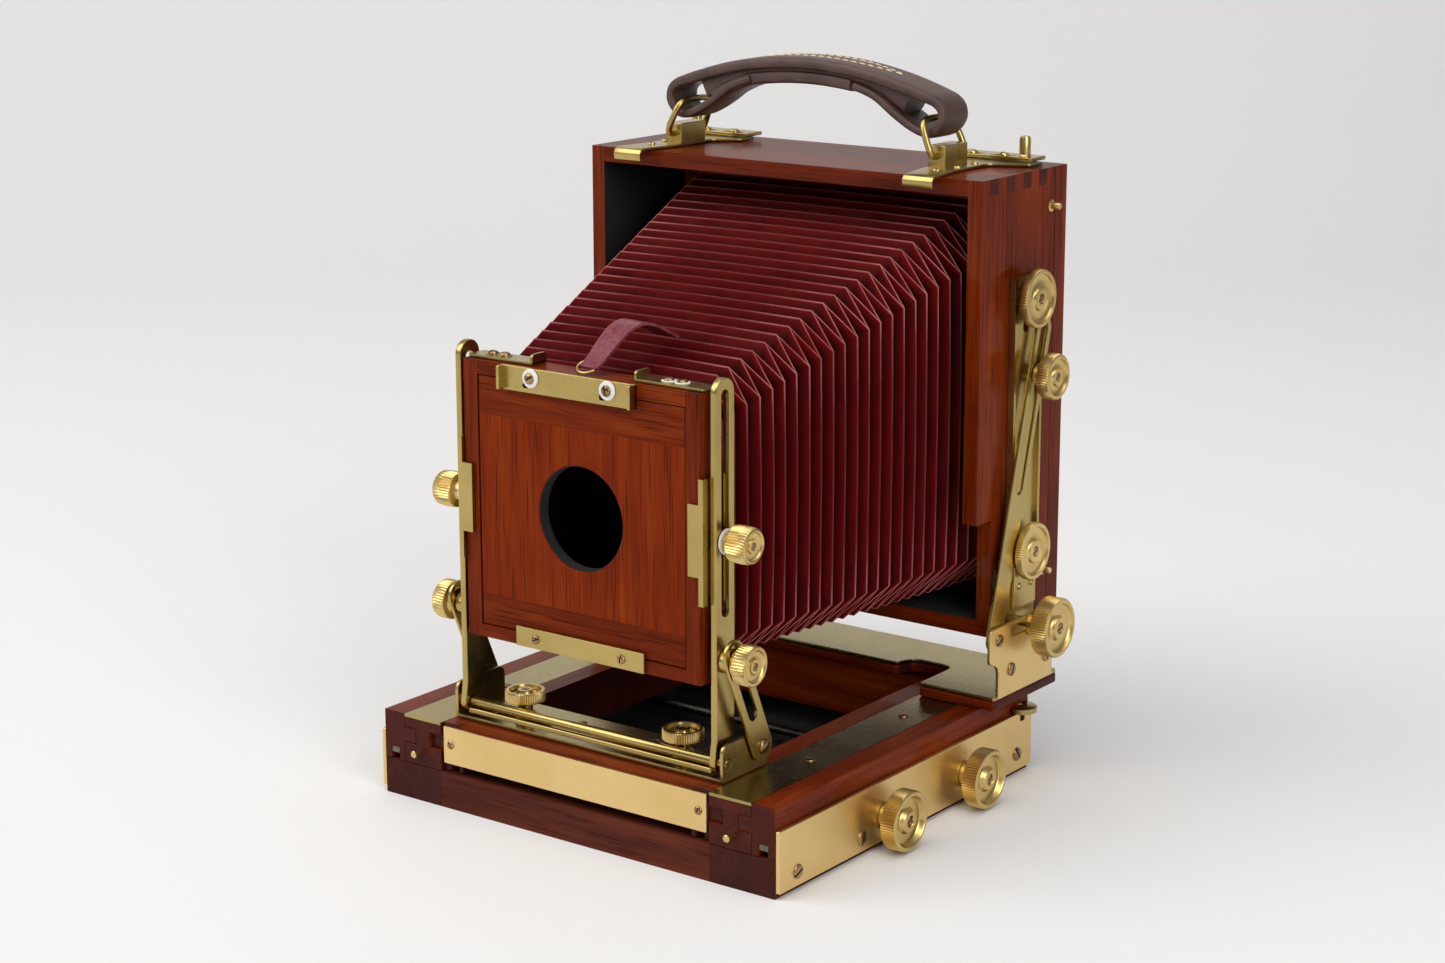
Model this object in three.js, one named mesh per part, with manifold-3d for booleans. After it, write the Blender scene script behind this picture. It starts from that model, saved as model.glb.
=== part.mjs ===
// A wooden field (view) camera, set up square, in millimetres.
// +X is the right as seen from the front, +Y runs from the lens to the back, and +Z is up.
// The scene's origin is the centre of the whole camera's footprint, on the surface it stands on.
// Inside this file y = 0 is the front face of the bed, and the last lines move it to the origin.

import * as THREE from 'three';
import { mergeVertices } from 'three/addons/utils/BufferGeometryUtils.js';
import Module from 'manifold-3d';

const wasm = await Module();
wasm.setup();

// ---------------------------------------------------------------- driving dimensions
const GAP = 0.3; // clearance between pieces that touch or slide on each other
const ROUND = 16; // sides of a round piece
const BRASS = 1.5; // thickness of the brass sheet
const STUD_R = 2; // radius of the threaded studs and shafts
const HOLE_R = STUD_R + GAP;
const CLEAR = 1; // how far a cutting shape runs past the faces it cuts
const DRILL = 30; // length of the shape that drills a hole

const BED = { half: 98.3, depth: 182, top: 35.7, joint: 15, wall: 23, end: 12, floor: 5 };
const SLIDE_Z = BED.joint + 0.4; // underside of the three sliding frames
const SIDE_PLATE = { x: BED.half + GAP, thick: 1.8, z0: 2.3, z1: 26.9 };
const TRIPOD = { half: 30, thick: 2.9, holeR: 4.76, y: 91, boreR: 8 };
const LOCK = { x: 100, y: 174.5, z: 28.3, r: 7, thick: 3, stem: 1.8, stemZ: 23 }; // recess of the rail lock

const OUTER = { x: 87.8, tongueX: 81.7, z0: 24, z1: 30, crossY: 173 };
const MIDDLE = { x0: 67.9, x1: 87.5, rear: 172.5, cross: 6.5, top: 34.2 };
const INNER = { x: 58, x1: 67.6, tongueX: 74.1, rear: 165, cross: 8, board0: 2, board1: 36, boardZ: 19.3 };
const STRIP = { thick: 1.2 }; // brass wear strips on the middle frame

const GEAR = { module: 1, teeth: 8, width: 3.4, addendum: 0.7, root: 2.9, z: 13 };
const TOOTH = { tip: 0.09, root: 0.24 }; // half of a gear tooth's width at its tip and root, in radians
const PITCH = Math.PI * GEAR.module;
const PITCH_R = (GEAR.module * GEAR.teeth) / 2;
const SPARE = 4; // how far the teeth run past the end of the travel
const RACK = { half: 2, top: 20.3, halfTip: 0.35, halfRoot: 0.95 };
const FRONT_PINION_Y = 69.5;
const REAR_PINION_Y = 128.5;
const FRONT_TRAVEL = 90;
const REAR_TRAVEL = 60;
const FRONT_RACK_X = 62;
const REAR_RACK_X = 93;

const FOOT = { y: 12.4, z: 43 }; // tilt axis of the front standard
const BASE_PLATE = { x: 67.6, y0: 9, y1: 38, z: 36, earTop: 51, corner: 4, slotR: 2.5 };
const CLAMP = { x: 40, y: 20.5, z0: 24, top: 50, r: 8.2, headZ: 45.5, neckR: 3, shift: 12 };
const CLAMP_COLLAR = { r: 4, z: 40.8 };
const CLAMP_DISH = { lipR: 6.4, r: 6, z: 48.4 };
const UPRIGHT = { x: 61.4, thick: 2.8, y0: 9.9, y1: 21.2, top: 191.5, footR: 3.9 };
const UPRIGHT_Y = (UPRIGHT.y0 + UPRIGHT.y1) / 2;
const RISE = { z: 129.2, slot0: 100, slot1: 187 };
const LOWER = { z: 82.8 };
const BRACE = { x: 68.2, y: 32.2, z: 45.2, width: 12, beyond: 9.5, slotStart: 16 };
const BRACE_SLOT_R = STUD_R + 0.7;
const BRACE_END = 4.5; // from a brace's end to the centre of its slot's round end
const SCREW_R = 1.6;

// Knobs that stand out along X: a neck, a knurled rim between two faces, and a dish in the outer face.
const FOCUS_KNOB = {
  neckR: 4.6, neckX: 106, rimX: 106.5, r: 12.2, endX: 113.6, lipR: 10, dishX: 111, dishR: 9,
};
const LOWER_KNOB = { neckR: 6, neckX: 70.4, rimX: 72, r: 8, endX: 78.5, lipR: 6.4, dishX: 77, dishR: 5.6 };
const UPPER_KNOB = { neckR: 4.4, neckX: 68, rimX: 68.5, r: 7.1, endX: 77.8, lipR: 5.4, dishX: 76, dishR: 5 };
const BRACE_KNOB = { neckR: 5, neckX: 107, rimX: 108, r: 9.5, endX: 113.5, lipR: 7.6, dishX: 112, dishR: 7 };
const FOOT_KNOB = { neckR: 6, neckX: 110.5, rimX: 111, r: 12.4, endX: 119, lipR: 10, dishX: 117, dishR: 9 };
const LOWER_COLLAR = { r: 5, x: 67.8 }; // collar between the upright and the brace
const WASHER = { gap: 0.2, thick: 0.9, r: 5 };

const LENS = { half: 58.2, y0: 8, y1: 20, z0: 73.3, z1: 185.8, rebate: 6, play: 0.4, ledge: 6 };
const SIDE_PAD = { x0: 58.5, x1: 60.7, z0: 105, z1: 154, lipX: 53.5, lipZ0: 116, lipZ1: 144 };
const BOARD = { half: 50.9, z0: 78.8, z1: 179.8, thick: 5.3, holeR: 20.85, holeZ: 129.3, sides: 36 };
const CLIP = { x0: -37.4, x1: 28.7, z0: 176.3, z1: 186, y0: 6.2, curl: 3, lap: 0.5 };
// The clip's slots run down and to the left from its studs, by a little more than its travel along each axis.
const CLIP_SLOT = { xs: [-22, 16], z: 182.2, run: 2.9, r: 1.4 };
const BELLOWS_WALL = 2;
const BELLOWS_FRONT = { y: LENS.y1 + GAP, half: 56, z0: 76, z1: 183, chamfer: 9 };
const BELLOWS_REAR = { y: 185, half: 90, z0: 74, z1: 245.5, chamfer: 18 };

const WING = { half: 105.2, y0: 143, y1: 194, z: 36, thick: 4 };
const WING_CUT = { x: 69, y: 170, midX: 46, midY: 161, flare: 4 };
const BRACKET = { x: 103.7, y0: 139.5, y1: 189.5, z1: 71, footY: 146.5, notch: 57, slope: 3 };
const PIVOT = { y: 172, z: 67, slot0: 158, slot1: 182, slotR: 2.4 }; // tilt axis of the rear standard
const CHANNEL = { x: 98.6, web: 1.4, depth: 2.9, y0: 160, y1: 182, z0: 59, z1: 212, flangeZ: 94 };
const CHANNEL_STUD_X = CHANNEL.x + 0.2; // inner end of the studs that stand in the channels
const REAR_BRACE = { x: 101.9, y: 146.4, z: 66, width: 11, beyond: 24, slotStart: 62 };
const BRACE_STUD = { y: 175, z: 171 };
const DISC = { x: 103.7, r: 12, endX: 107, lipR: 9.6, dishX: 105.6, dishR: 9, y: 171, low: 98, high: 203 };
const DISC_SLOT = { fall: 12, rise: 3 };

const BOX = { half: 98.3, y0: 138, y1: 194.4, z0: 64.7, z1: 253.3, wall: 6.5, notchY: 149.7, notchZ: 114.2 };
const BACK = { y0: 194.8, y1: 203.7, openX: 66, openZ: 54 };
const GLASS = { half: 78, halfZ: 64, thick: 9, paneX: 62, paneZ: 49, paneIn: 1.5, pane: 2, rebate: 4 };
const BOX_MID_Z = (BOX.z0 + BOX.z1) / 2;

const RING = { x: 66.5, z: 259, y: 163, wireR: 1.4, holeR: 1.8, inside: 6.5, halfY: 12, height: 14.5 };
const RING_SHAPE = { lean: 5, low: 0.3, high: 0.9, top: 1.1, bow: 1, corner: 3.5, tension: 0.2, steps: 22,
  sides: 4 };
const TOP_PLATE = { thick: 1.2, neckX0: 63, neckX1: 77, neckY0: 150, neckY1: 176 };
const TOP_LIP = { x0: 66, x1: 80, y: 130, drop: 5 };
const TOP_TEE = { x0: 52, x1: 93, y0: 184, y1: 193.5 };
const RING_BLOCK = { x0: 62.5, x1: 70.5, y0: 154.5, y1: 171.5, z1: 263.5 };
const LATCH = { x0: 52, x1: 91, y0: 187, y1: 199, slotY: 190.5, slotHalf: 4, screws: [61, 76] };
const LATCH_POST = { x: 84, y: 194, r: 2.4, top: 265, sides: 12 };
const STRAP = { half: 73, span: 69, foot: 273.5, rise: 17, power: 0.75, thick: 10, width: 17, steps: 14 };
const STRAP_EYE = { x: 61, z: 273.5, outerR: 6.4, innerR: 3.6, width: 16 };

const Y_MIN = 0;
const Y_MAX = BACK.y1 + GAP + GLASS.thick;

// ---------------------------------------------------------------- materials
const material = (color, roughness, metalness) =>
  new THREE.MeshStandardMaterial({ color, roughness, metalness });
const wood = () => material(0x6e2413, 0.3, 0);
const endGrain = () => material(0x3c1a18, 0.45, 0);
const brass = () => material(0xb8963f, 0.35, 1);
const steel = () => material(0x77736c, 0.4, 1);
const nylon = () => material(0xe8e6df, 0.5, 0);
const cloth = () => material(0x4d1019, 0.7, 0);
const leather = () => material(0x3a2324, 0.5, 0);
const frosted = () => material(0xc9d2cf, 0.6, 0);

// ---------------------------------------------------------------- geometry helpers
const ALONG_X = new THREE.Matrix4().makeBasis(
  new THREE.Vector3(0, 1, 0), new THREE.Vector3(0, 0, 1), new THREE.Vector3(1, 0, 0));
const ALONG_Y = new THREE.Matrix4().makeBasis(
  new THREE.Vector3(1, 0, 0), new THREE.Vector3(0, 0, 1), new THREE.Vector3(0, -1, 0));

const extrude = (shape, depth) =>
  new THREE.ExtrudeGeometry(shape, { depth, bevelEnabled: false, curveSegments: 6 });

// A prism along one axis. The shape's two coordinates are the other two axes in X, Y, Z order.
const prismX = (shape, x0, x1) => extrude(shape, x1 - x0).applyMatrix4(ALONG_X).translate(x0, 0, 0);
const prismY = (shape, y0, y1) => extrude(shape, y1 - y0).applyMatrix4(ALONG_Y).translate(0, y1, 0);
const prismZ = (shape, z0, z1) => extrude(shape, z1 - z0).translate(0, 0, z0);

const box = (x0, x1, y0, y1, z0, z1) =>
  new THREE.BoxGeometry(x1 - x0, y1 - y0, z1 - z0)
    .translate((x0 + x1) / 2, (y0 + y1) / 2, (z0 + z1) / 2);

// A cylinder that stands along Z, about a centre.
const cylinderZ = (r, length, x, y, z, sides = ROUND) =>
  new THREE.CylinderGeometry(r, r, length, sides).rotateX(Math.PI / 2).translate(x, y, z);

const polygon = (points) => new THREE.Shape(points.map(([a, b]) => new THREE.Vector2(a, b)));

const rectangle = (a0, a1, b0, b1) => polygon([[a0, b0], [a1, b0], [a1, b1], [a0, b1]]);

const circle = (a, b, r) => new THREE.Path().absarc(a, b, r, 0, 2 * Math.PI, false);

// A slot with round ends, from (a0, b0) to (a1, b1) between the centres of its ends.
function slot(a0, b0, a1, b1, r, Kind = THREE.Path) {
  const angle = Math.atan2(b1 - b0, a1 - a0);
  const path = new Kind();
  path.absarc(a1, b1, r, angle - Math.PI / 2, angle + Math.PI / 2, false);
  path.absarc(a0, b0, r, angle + Math.PI / 2, angle + (3 * Math.PI) / 2, false);
  path.closePath();
  return path;
}

const withHoles = (shape, ...holes) => {
  shape.holes.push(...holes);
  return shape;
};

// A turned piece about the X axis through (y, z). The profile is [x, radius] pairs, from end to end.
function turnedX(profile, y, z, sides = ROUND) {
  const outline = profile.map(([x, r]) => new THREE.Vector2(r, x));
  return new THREE.LatheGeometry(outline, sides)
    .rotateZ(-Math.PI / 2).translate(0, y, z);
}

const mirrorX = (geometry) => {
  const copy = geometry.clone().scale(-1, 1, 1);
  const flat = copy.index ? copy.toNonIndexed() : copy;
  const position = flat.getAttribute('position');
  for (let i = 0; i < position.count; i += 3) {
    const a = new THREE.Vector3().fromBufferAttribute(position, i);
    const b = new THREE.Vector3().fromBufferAttribute(position, i + 1);
    position.setXYZ(i, b.x, b.y, b.z);
    position.setXYZ(i + 1, a.x, a.y, a.z);
  }
  return flat;
};

function solid(geometry) {
  const bare = geometry.clone();
  bare.deleteAttribute('normal');
  bare.deleteAttribute('uv');
  const merged = mergeVertices(bare, 1e-4);
  return new wasm.Manifold(new wasm.Mesh({
    numProp: 3,
    vertProperties: new Float32Array(merged.getAttribute('position').array),
    triVerts: new Uint32Array(merged.getIndex().array),
  }));
}

function shell(body) {
  const data = body.getMesh();
  const geometry = new THREE.BufferGeometry();
  geometry.setAttribute('position', new THREE.BufferAttribute(data.vertProperties, 3));
  geometry.setIndex(new THREE.BufferAttribute(data.triVerts, 1));
  return geometry;
}

const join = (first, ...rest) => shell(rest.reduce((body, g) => body.add(solid(g)), solid(first)));
const cut = (first, ...rest) => shell(rest.reduce((body, g) => body.subtract(solid(g)), solid(first)));

const camera = new THREE.Group();
function add(name, geometry, finish) {
  const piece = new THREE.Mesh(geometry, finish);
  piece.name = name;
  camera.add(piece);
}
function addPair(name, geometry, finish) {
  add(`${name}_right`, geometry, finish());
  add(`${name}_left`, mirrorX(geometry), finish());
}

// ---------------------------------------------------------------- bed
function bedFrame() {
  const pocketX = BED.half - BED.wall;
  const grooves = [FRONT_PINION_Y, REAR_PINION_Y].map((y) =>
    box(-BED.half - CLEAR, BED.half + CLEAR, y - HOLE_R, y + HOLE_R, GEAR.z - HOLE_R, BED.joint + CLEAR));
  const gearR = PITCH_R + GEAR.addendum + GAP;
  const gearPockets = [-1, 1].map((side) =>
    box(side * REAR_RACK_X - RACK.half - GAP, side * REAR_RACK_X + RACK.half + GAP,
      REAR_PINION_Y - gearR, REAR_PINION_Y + gearR, GEAR.z - gearR, BED.joint + CLEAR));
  const recess = TRIPOD.half + GAP;
  return cut(
    box(-BED.half, BED.half, 0, BED.depth, 0, BED.joint),
    box(-pocketX, pocketX, BED.end, BED.depth - BED.end, BED.floor, BED.joint + CLEAR),
    box(-recess, recess, TRIPOD.y - recess, TRIPOD.y + recess, -CLEAR, TRIPOD.thick + GAP),
    cylinderZ(TRIPOD.boreR, DRILL, 0, TRIPOD.y, 0),
    ...grooves, ...gearPockets);
}

function tripodPlate() {
  const { half, y, holeR, thick } = TRIPOD;
  return prismZ(withHoles(rectangle(-half, half, y - half, y + half), circle(0, y, holeR)), 0, thick);
}

function sidePlate() {
  const { x, thick, z0, z1 } = SIDE_PLATE;
  const notch0 = LOCK.y - LOCK.stem;
  const notch1 = LOCK.y + LOCK.stem;
  const outline = polygon([[0, z0], [BED.depth, z0], [BED.depth, z1], [notch1, z1],
    [notch1, LOCK.stemZ], [notch0, LOCK.stemZ], [notch0, z1], [0, z1]]);
  const holes = [FRONT_PINION_Y, REAR_PINION_Y].map((y) => circle(y, GEAR.z, HOLE_R));
  return prismX(withHoles(outline, ...holes), x, x + thick);
}

const rackGroove = (x) =>
  box(x - RACK.half - GAP, x + RACK.half + GAP, -CLEAR, BED.depth + CLEAR, SLIDE_Z - CLEAR, RACK.top + GAP);

function outerFrame() {
  const { x, tongueX, z0, z1, crossY } = OUTER;
  const section = polygon([[x, SLIDE_Z], [BED.half, SLIDE_Z], [BED.half, BED.top], [x, BED.top],
    [x, z1], [tongueX, z1], [tongueX, z0], [x, z0]]);
  const rail = prismY(section, 0, BED.depth);
  const groove = rackGroove(REAR_RACK_X);
  const right = cut(rail, groove, cylinderZ(LOCK.r, LOCK.thick, LOCK.x, LOCK.y, LOCK.z));
  const cross = box(-x - CLEAR, x + CLEAR, crossY, BED.depth, SLIDE_Z, BED.top);
  return join(right, mirrorX(right), cross);
}

function middleFrame() {
  const { x0, x1, rear, cross, top } = MIDDLE;
  const outerDepth = OUTER.tongueX - GAP;
  const innerDepth = INNER.tongueX + GAP;
  const z0 = OUTER.z0 - GAP;
  const z1 = OUTER.z1 + GAP;
  const section = polygon([[x0, SLIDE_Z], [x1, SLIDE_Z], [x1, z0], [outerDepth, z0],
    [outerDepth, z1], [x1, z1], [x1, top], [x0, top], [x0, z1], [innerDepth, z1],
    [innerDepth, z0], [x0, z0]]);
  const rail = prismY(section, 0, rear);
  return join(rail, mirrorX(rail), box(-x0 - CLEAR, x0 + CLEAR, rear - cross, rear, SLIDE_Z, top));
}

const railStrip = () => box(MIDDLE.x0, MIDDLE.x1, 0, MIDDLE.rear, BED.top - STRIP.thick, BED.top);

function innerFrame() {
  const { x, x1, tongueX, rear, cross, board0, board1, boardZ } = INNER;
  const section = polygon([[x, SLIDE_Z], [x1, SLIDE_Z], [x1, OUTER.z0], [tongueX, OUTER.z0],
    [tongueX, OUTER.z1], [x1, OUTER.z1], [x1, BED.top], [x, BED.top]]);
  const right = cut(prismY(section, board0, rear), rackGroove(FRONT_RACK_X));
  const studHoles = [-CLAMP.x, CLAMP.x].map((cx) => cylinderZ(HOLE_R, DRILL, cx, CLAMP.y, BED.top));
  const body = join(right, mirrorX(right),
    box(-x - CLEAR, x + CLEAR, board0, board1, boardZ, BED.top),
    box(-x - CLEAR, x + CLEAR, rear - cross, rear, SLIDE_Z, BED.top));
  return cut(body, ...studHoles);
}

// A knob's profile from the start of its neck. The stud comes before it.
const knobProfile = (x, { neckR, neckX, rimX, r, endX, lipR, dishX, dishR }) => [[x, STUD_R], [x, neckR],
  [neckX, neckR], [rimX, r], [endX, r], [endX, lipR], [dishX, dishR], [dishX, 0]];

// A stud from its inner end at x0, with a knob whose neck starts at x1.
const studKnob = (x0, x1, knob, y, z) =>
  turnedX([[x0, 0], [x0, STUD_R], ...knobProfile(x1, knob)], y, z);

// ---------------------------------------------------------------- rack and pinion
// A rack bar whose teeth point down. A gap between teeth sits over the pinion, and the teeth
// run far enough each way for the travel.
function rack(x, pinionY, before, after, start, end) {
  const pitchZ = GEAR.z + PITCH_R;
  const tip = pitchZ - GEAR.addendum;
  const root = pitchZ + GEAR.module;
  const first = -Math.floor(before / PITCH) - 0.5;
  const last = Math.floor(after / PITCH) + 0.5;
  const points = [[start + GAP, RACK.top], [start + GAP, root]];
  for (let n = first; n <= last; n += 1) {
    const y = pinionY + n * PITCH;
    points.push([y - RACK.halfRoot, root], [y - RACK.halfTip, tip],
      [y + RACK.halfTip, tip], [y + RACK.halfRoot, root]);
  }
  points.push([end - GAP, root], [end - GAP, RACK.top]);
  return prismX(polygon(points), x - RACK.half, x + RACK.half);
}

function pinion(x, y) {
  const tipR = PITCH_R + GEAR.addendum;
  const { root } = GEAR;
  const points = [];
  for (let n = 0; n < GEAR.teeth; n += 1) {
    const middle = Math.PI / 2 + (n * 2 * Math.PI) / GEAR.teeth;
    const corners = [[root, -TOOTH.root], [tipR, -TOOTH.tip], [tipR, TOOTH.tip], [root, TOOTH.root]];
    for (const [r, turn] of corners) {
      points.push([y + r * Math.cos(middle + turn), GEAR.z + r * Math.sin(middle + turn)]);
    }
  }
  return prismX(polygon(points), x - GEAR.width / 2, x + GEAR.width / 2);
}

// A shaft right across the bed, with two gears, and a dished knob pinned on each end.
function pinionShaft(gearX, y) {
  const right = knobProfile(SIDE_PLATE.x + SIDE_PLATE.thick + GAP, FOCUS_KNOB);
  const left = right.map(([x, r]) => [-x, r]).reverse();
  return join(turnedX([...left, ...right], y, GEAR.z), pinion(gearX, y), pinion(-gearX, y));
}

// ---------------------------------------------------------------- front standard
function basePlate() {
  const { x, y0, y1, z, earTop, corner, slotR } = BASE_PLATE;
  const slots = [-CLAMP.x, CLAMP.x].map((cx) =>
    slot(cx - CLAMP.shift, CLAMP.y, cx + CLAMP.shift, CLAMP.y, slotR));
  const plate = prismZ(withHoles(rectangle(-x, x, y0, y1), ...slots), z, z + BRASS);
  const ear = prismX(withHoles(
    polygon([[y0, z], [y1, z], [y1, earTop - corner], [y1 - corner, earTop], [y0 + corner, earTop],
      [y0, earTop - corner]]),
    circle(FOOT.y, FOOT.z, HOLE_R)), x - BRASS, x);
  return join(plate, ear, mirrorX(ear));
}

// A knurled clamping screw that stands in the sliding frame and passes the base plate's slot.
function clampScrew(side) {
  const { x, y, z0, neckR, headZ, top, r } = CLAMP;
  const foot = BASE_PLATE.z + BRASS + GAP;
  const collar = CLAMP_COLLAR;
  const dish = CLAMP_DISH;
  const outline = [[z0, 0], [z0, STUD_R], [foot, STUD_R], [foot, collar.r], [collar.z, collar.r],
    [collar.z, neckR], [headZ, neckR], [headZ, r], [top, r], [top, dish.lipR], [dish.z, dish.r], [dish.z, 0]];
  return new THREE.LatheGeometry(outline.map(([z, radius]) => new THREE.Vector2(radius, z)), ROUND)
    .rotateX(Math.PI / 2).translate(side * x, y, 0);
}

function frontUpright() {
  const { x, thick, y0, y1, top, footR } = UPRIGHT;
  const half = (y1 - y0) / 2;
  const outline = new THREE.Shape();
  outline.absarc(UPRIGHT_Y, top - half, half, 0, Math.PI, false);
  outline.lineTo(y0, FOOT.z + 2 * footR);
  outline.absarc(FOOT.y, FOOT.z, footR, Math.PI, 2 * Math.PI, false);
  outline.lineTo(y1, FOOT.z + 3 * footR);
  outline.closePath();
  return prismX(withHoles(outline,
    slot(UPRIGHT_Y, RISE.slot0 + HOLE_R, UPRIGHT_Y, RISE.slot1 - HOLE_R, HOLE_R),
    circle(UPRIGHT_Y, LOWER.z, HOLE_R),
    circle(FOOT.y, FOOT.z, HOLE_R)), x, x + thick);
}

function crossRod() {
  const half = BASE_PLATE.x + GAP;
  return turnedX([[-half, 0], [-half, STUD_R], [half, STUD_R], [half, 0]], FOOT.y, FOOT.z, 12);
}

// A slotted brace: a strip with round ends, from its pivot to past the stud that clamps it.
function slottedBrace(pivot, stud) {
  const { x, width, beyond, slotStart } = pivot;
  const length = Math.hypot(stud.y - pivot.y, stud.z - pivot.z);
  const stepY = (stud.y - pivot.y) / length;
  const stepZ = (stud.z - pivot.z) / length;
  const along = (d) => [pivot.y + stepY * d, pivot.z + stepZ * d];
  const outline = slot(...along(0), ...along(length + beyond - width / 2), width / 2, THREE.Shape);
  const inside = slot(...along(slotStart), ...along(length + beyond - BRACE_END), BRACE_SLOT_R);
  return prismX(withHoles(outline, inside, circle(...along(0), SCREW_R)), x, x + BRASS);
}

function lowerKnob() {
  const inner = UPRIGHT.x - GAP;
  const collar = UPRIGHT.x + UPRIGHT.thick + GAP;
  return turnedX([[inner, 0], [inner, STUD_R], [collar, STUD_R], [collar, LOWER_COLLAR.r],
    [LOWER_COLLAR.x, LOWER_COLLAR.r], [LOWER_COLLAR.x, STUD_R],
    ...knobProfile(BRACE.x + BRASS + GAP, LOWER_KNOB)], UPRIGHT_Y, LOWER.z);
}

function riseWasher() {
  const inner = UPRIGHT.x + UPRIGHT.thick + WASHER.gap;
  const outer = inner + WASHER.thick;
  return turnedX([[inner, HOLE_R], [inner, WASHER.r], [outer, WASHER.r], [outer, HOLE_R], [inner, HOLE_R]],
    UPRIGHT_Y, RISE.z);
}

function upperKnob() {
  const neck = UPRIGHT.x + UPRIGHT.thick + WASHER.thick + 2 * WASHER.gap;
  return studKnob(UPRIGHT.x - GAP, neck, UPPER_KNOB, UPRIGHT_Y, RISE.z);
}

// ---------------------------------------------------------------- lens frame
function lensFrame() {
  const { half, y0, y1, z0, z1, rebate, play, ledge } = LENS;
  const outer = BOARD.half + play;
  const inner = BOARD.half - ledge;
  return cut(
    box(-half, half, y0, y1, z0, z1),
    box(-outer, outer, y0 - CLEAR, y0 + rebate, BOARD.z0 - play, BOARD.z1 + play),
    box(-inner, inner, y0, y1 + CLEAR, BOARD.z0 + ledge, BOARD.z1 - ledge));
}

function lensBoard() {
  const { half, z0, z1, thick, holeR, holeZ } = BOARD;
  const face = LENS.y0 + GAP;
  const board = rectangle(-half, half, z0, z1);
  board.holes.push(new THREE.Path(circle(0, holeZ, holeR).getPoints(BOARD.sides / 2)));
  return prismY(board, face, face + thick);
}

function boardClip() {
  const { x0, x1, z0, z1, y0, curl, lap } = CLIP;
  const { xs, z, run, r } = CLIP_SLOT;
  const slots = xs.map((x) => slot(x - run, z - run, x, z, r));
  const plate = prismY(withHoles(rectangle(x0, x1, z0, z1), ...slots), y0, LENS.y0 - GAP);
  const ends = [[x0, x0 + BRASS], [x1 - BRASS, x1]].map(([a, b]) => box(a, b, y0 - curl, y0 + lap, z0, z1));
  return join(plate, ...ends);
}

// An angle plate on the side of the lens frame, with a lip round on to its front face.
function framePad() {
  const { x0, x1, z0, z1, lipX, lipZ0, lipZ1 } = SIDE_PAD;
  const lipY = LENS.y0 - GAP - BRASS;
  return join(box(x0, x1, lipY, LENS.y1, z0, z1), box(lipX, x1, lipY, LENS.y0 - GAP, lipZ0, lipZ1));
}

// ---------------------------------------------------------------- bellows
// A tapering tube with cut corners: the true outer shape of the pleats, and open right through.
function bellows() {
  const corner = (end, inset) => {
    const c = end.chamfer;
    const x = end.half - inset;
    const z0 = end.z0 + inset;
    const z1 = end.z1 - inset;
    return [[x, z0 + c], [x, z1 - c], [x - c, z1], [c - x, z1], [-x, z1 - c], [-x, z0 + c],
      [c - x, z0], [x - c, z0]];
  };
  const ringShape = polygon(corner(BELLOWS_FRONT, 0));
  const inside = corner(BELLOWS_FRONT, BELLOWS_WALL).map(([a, b]) => new THREE.Vector2(a, b));
  ringShape.holes.push(new THREE.Path(inside));
  const tube = prismY(ringShape, BELLOWS_FRONT.y, BELLOWS_REAR.y);
  const front = [...corner(BELLOWS_FRONT, 0), ...corner(BELLOWS_FRONT, BELLOWS_WALL)];
  const rear = [...corner(BELLOWS_REAR, 0), ...corner(BELLOWS_REAR, BELLOWS_WALL)];
  const position = tube.getAttribute('position');
  const middleY = (BELLOWS_FRONT.y + BELLOWS_REAR.y) / 2;
  for (let i = 0; i < position.count; i += 1) {
    if (position.getY(i) > middleY) {
      const match = front.findIndex(([x, z]) =>
        Math.hypot(x - position.getX(i), z - position.getZ(i)) < 0.01);
      position.setX(i, rear[match][0]);
      position.setZ(i, rear[match][1]);
    }
  }
  return tube;
}

// ---------------------------------------------------------------- rear standard
// The wing is a U in plan: a bar under the back, with an arm forward along each side.
function wingOutline(half) {
  const { y0, y1 } = WING;
  const { x, y, midX, midY, flare } = WING_CUT;
  return polygon([[-half, y0], [-x, y0], [-x, y], [-midX - flare, y], [-midX, midY],
    [midX, midY], [midX + flare, y], [x, y], [x, y0], [half, y0], [half, y1], [-half, y1]]);
}

const wingBoard = () => prismZ(wingOutline(WING.half), WING.z, WING.z + WING.thick);

function wingPlate() {
  const z0 = WING.z + WING.thick + GAP;
  const { x, y0, y1, z1, footY, notch, slope } = BRACKET;
  const sheet = prismZ(wingOutline(WING.half), z0, z0 + BRASS);
  const side = prismX(withHoles(
    polygon([[footY, z0], [y1, z0], [y1, z1], [y0, z1], [y0, notch], [footY, notch - slope]]),
    slot(PIVOT.slot0, PIVOT.z, PIVOT.slot1, PIVOT.z, PIVOT.slotR),
    circle(REAR_BRACE.y, REAR_BRACE.z, SCREW_R)), x, x + BRASS);
  return join(sheet, side, mirrorX(side));
}

function rearChannel() {
  const { x, web, depth, y0, y1, z0, z1, flangeZ } = CHANNEL;
  const travel = (z) => slot(DISC.y, z - DISC_SLOT.fall, DISC.y, z + DISC_SLOT.rise, HOLE_R);
  const face = prismX(withHoles(
    rectangle(y0, y1, z0, z1), travel(DISC.low), travel(DISC.high),
    circle(PIVOT.y, PIVOT.z, HOLE_R), circle(BRACE_STUD.y, BRACE_STUD.z, HOLE_R)), x, x + web);
  const flanges = [[y0, y0 + BRASS], [y1 - BRASS, y1]].map(([a, b]) =>
    box(x, x + depth, a, b, flangeZ, z1));
  return join(face, ...flanges);
}

const braceKnob = () =>
  studKnob(CHANNEL_STUD_X, REAR_BRACE.x + BRASS + GAP, BRACE_KNOB, BRACE_STUD.y, BRACE_STUD.z);

const footKnob = () => studKnob(CHANNEL_STUD_X, BRACKET.x + BRASS + GAP, FOOT_KNOB, PIVOT.y, PIVOT.z);

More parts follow.
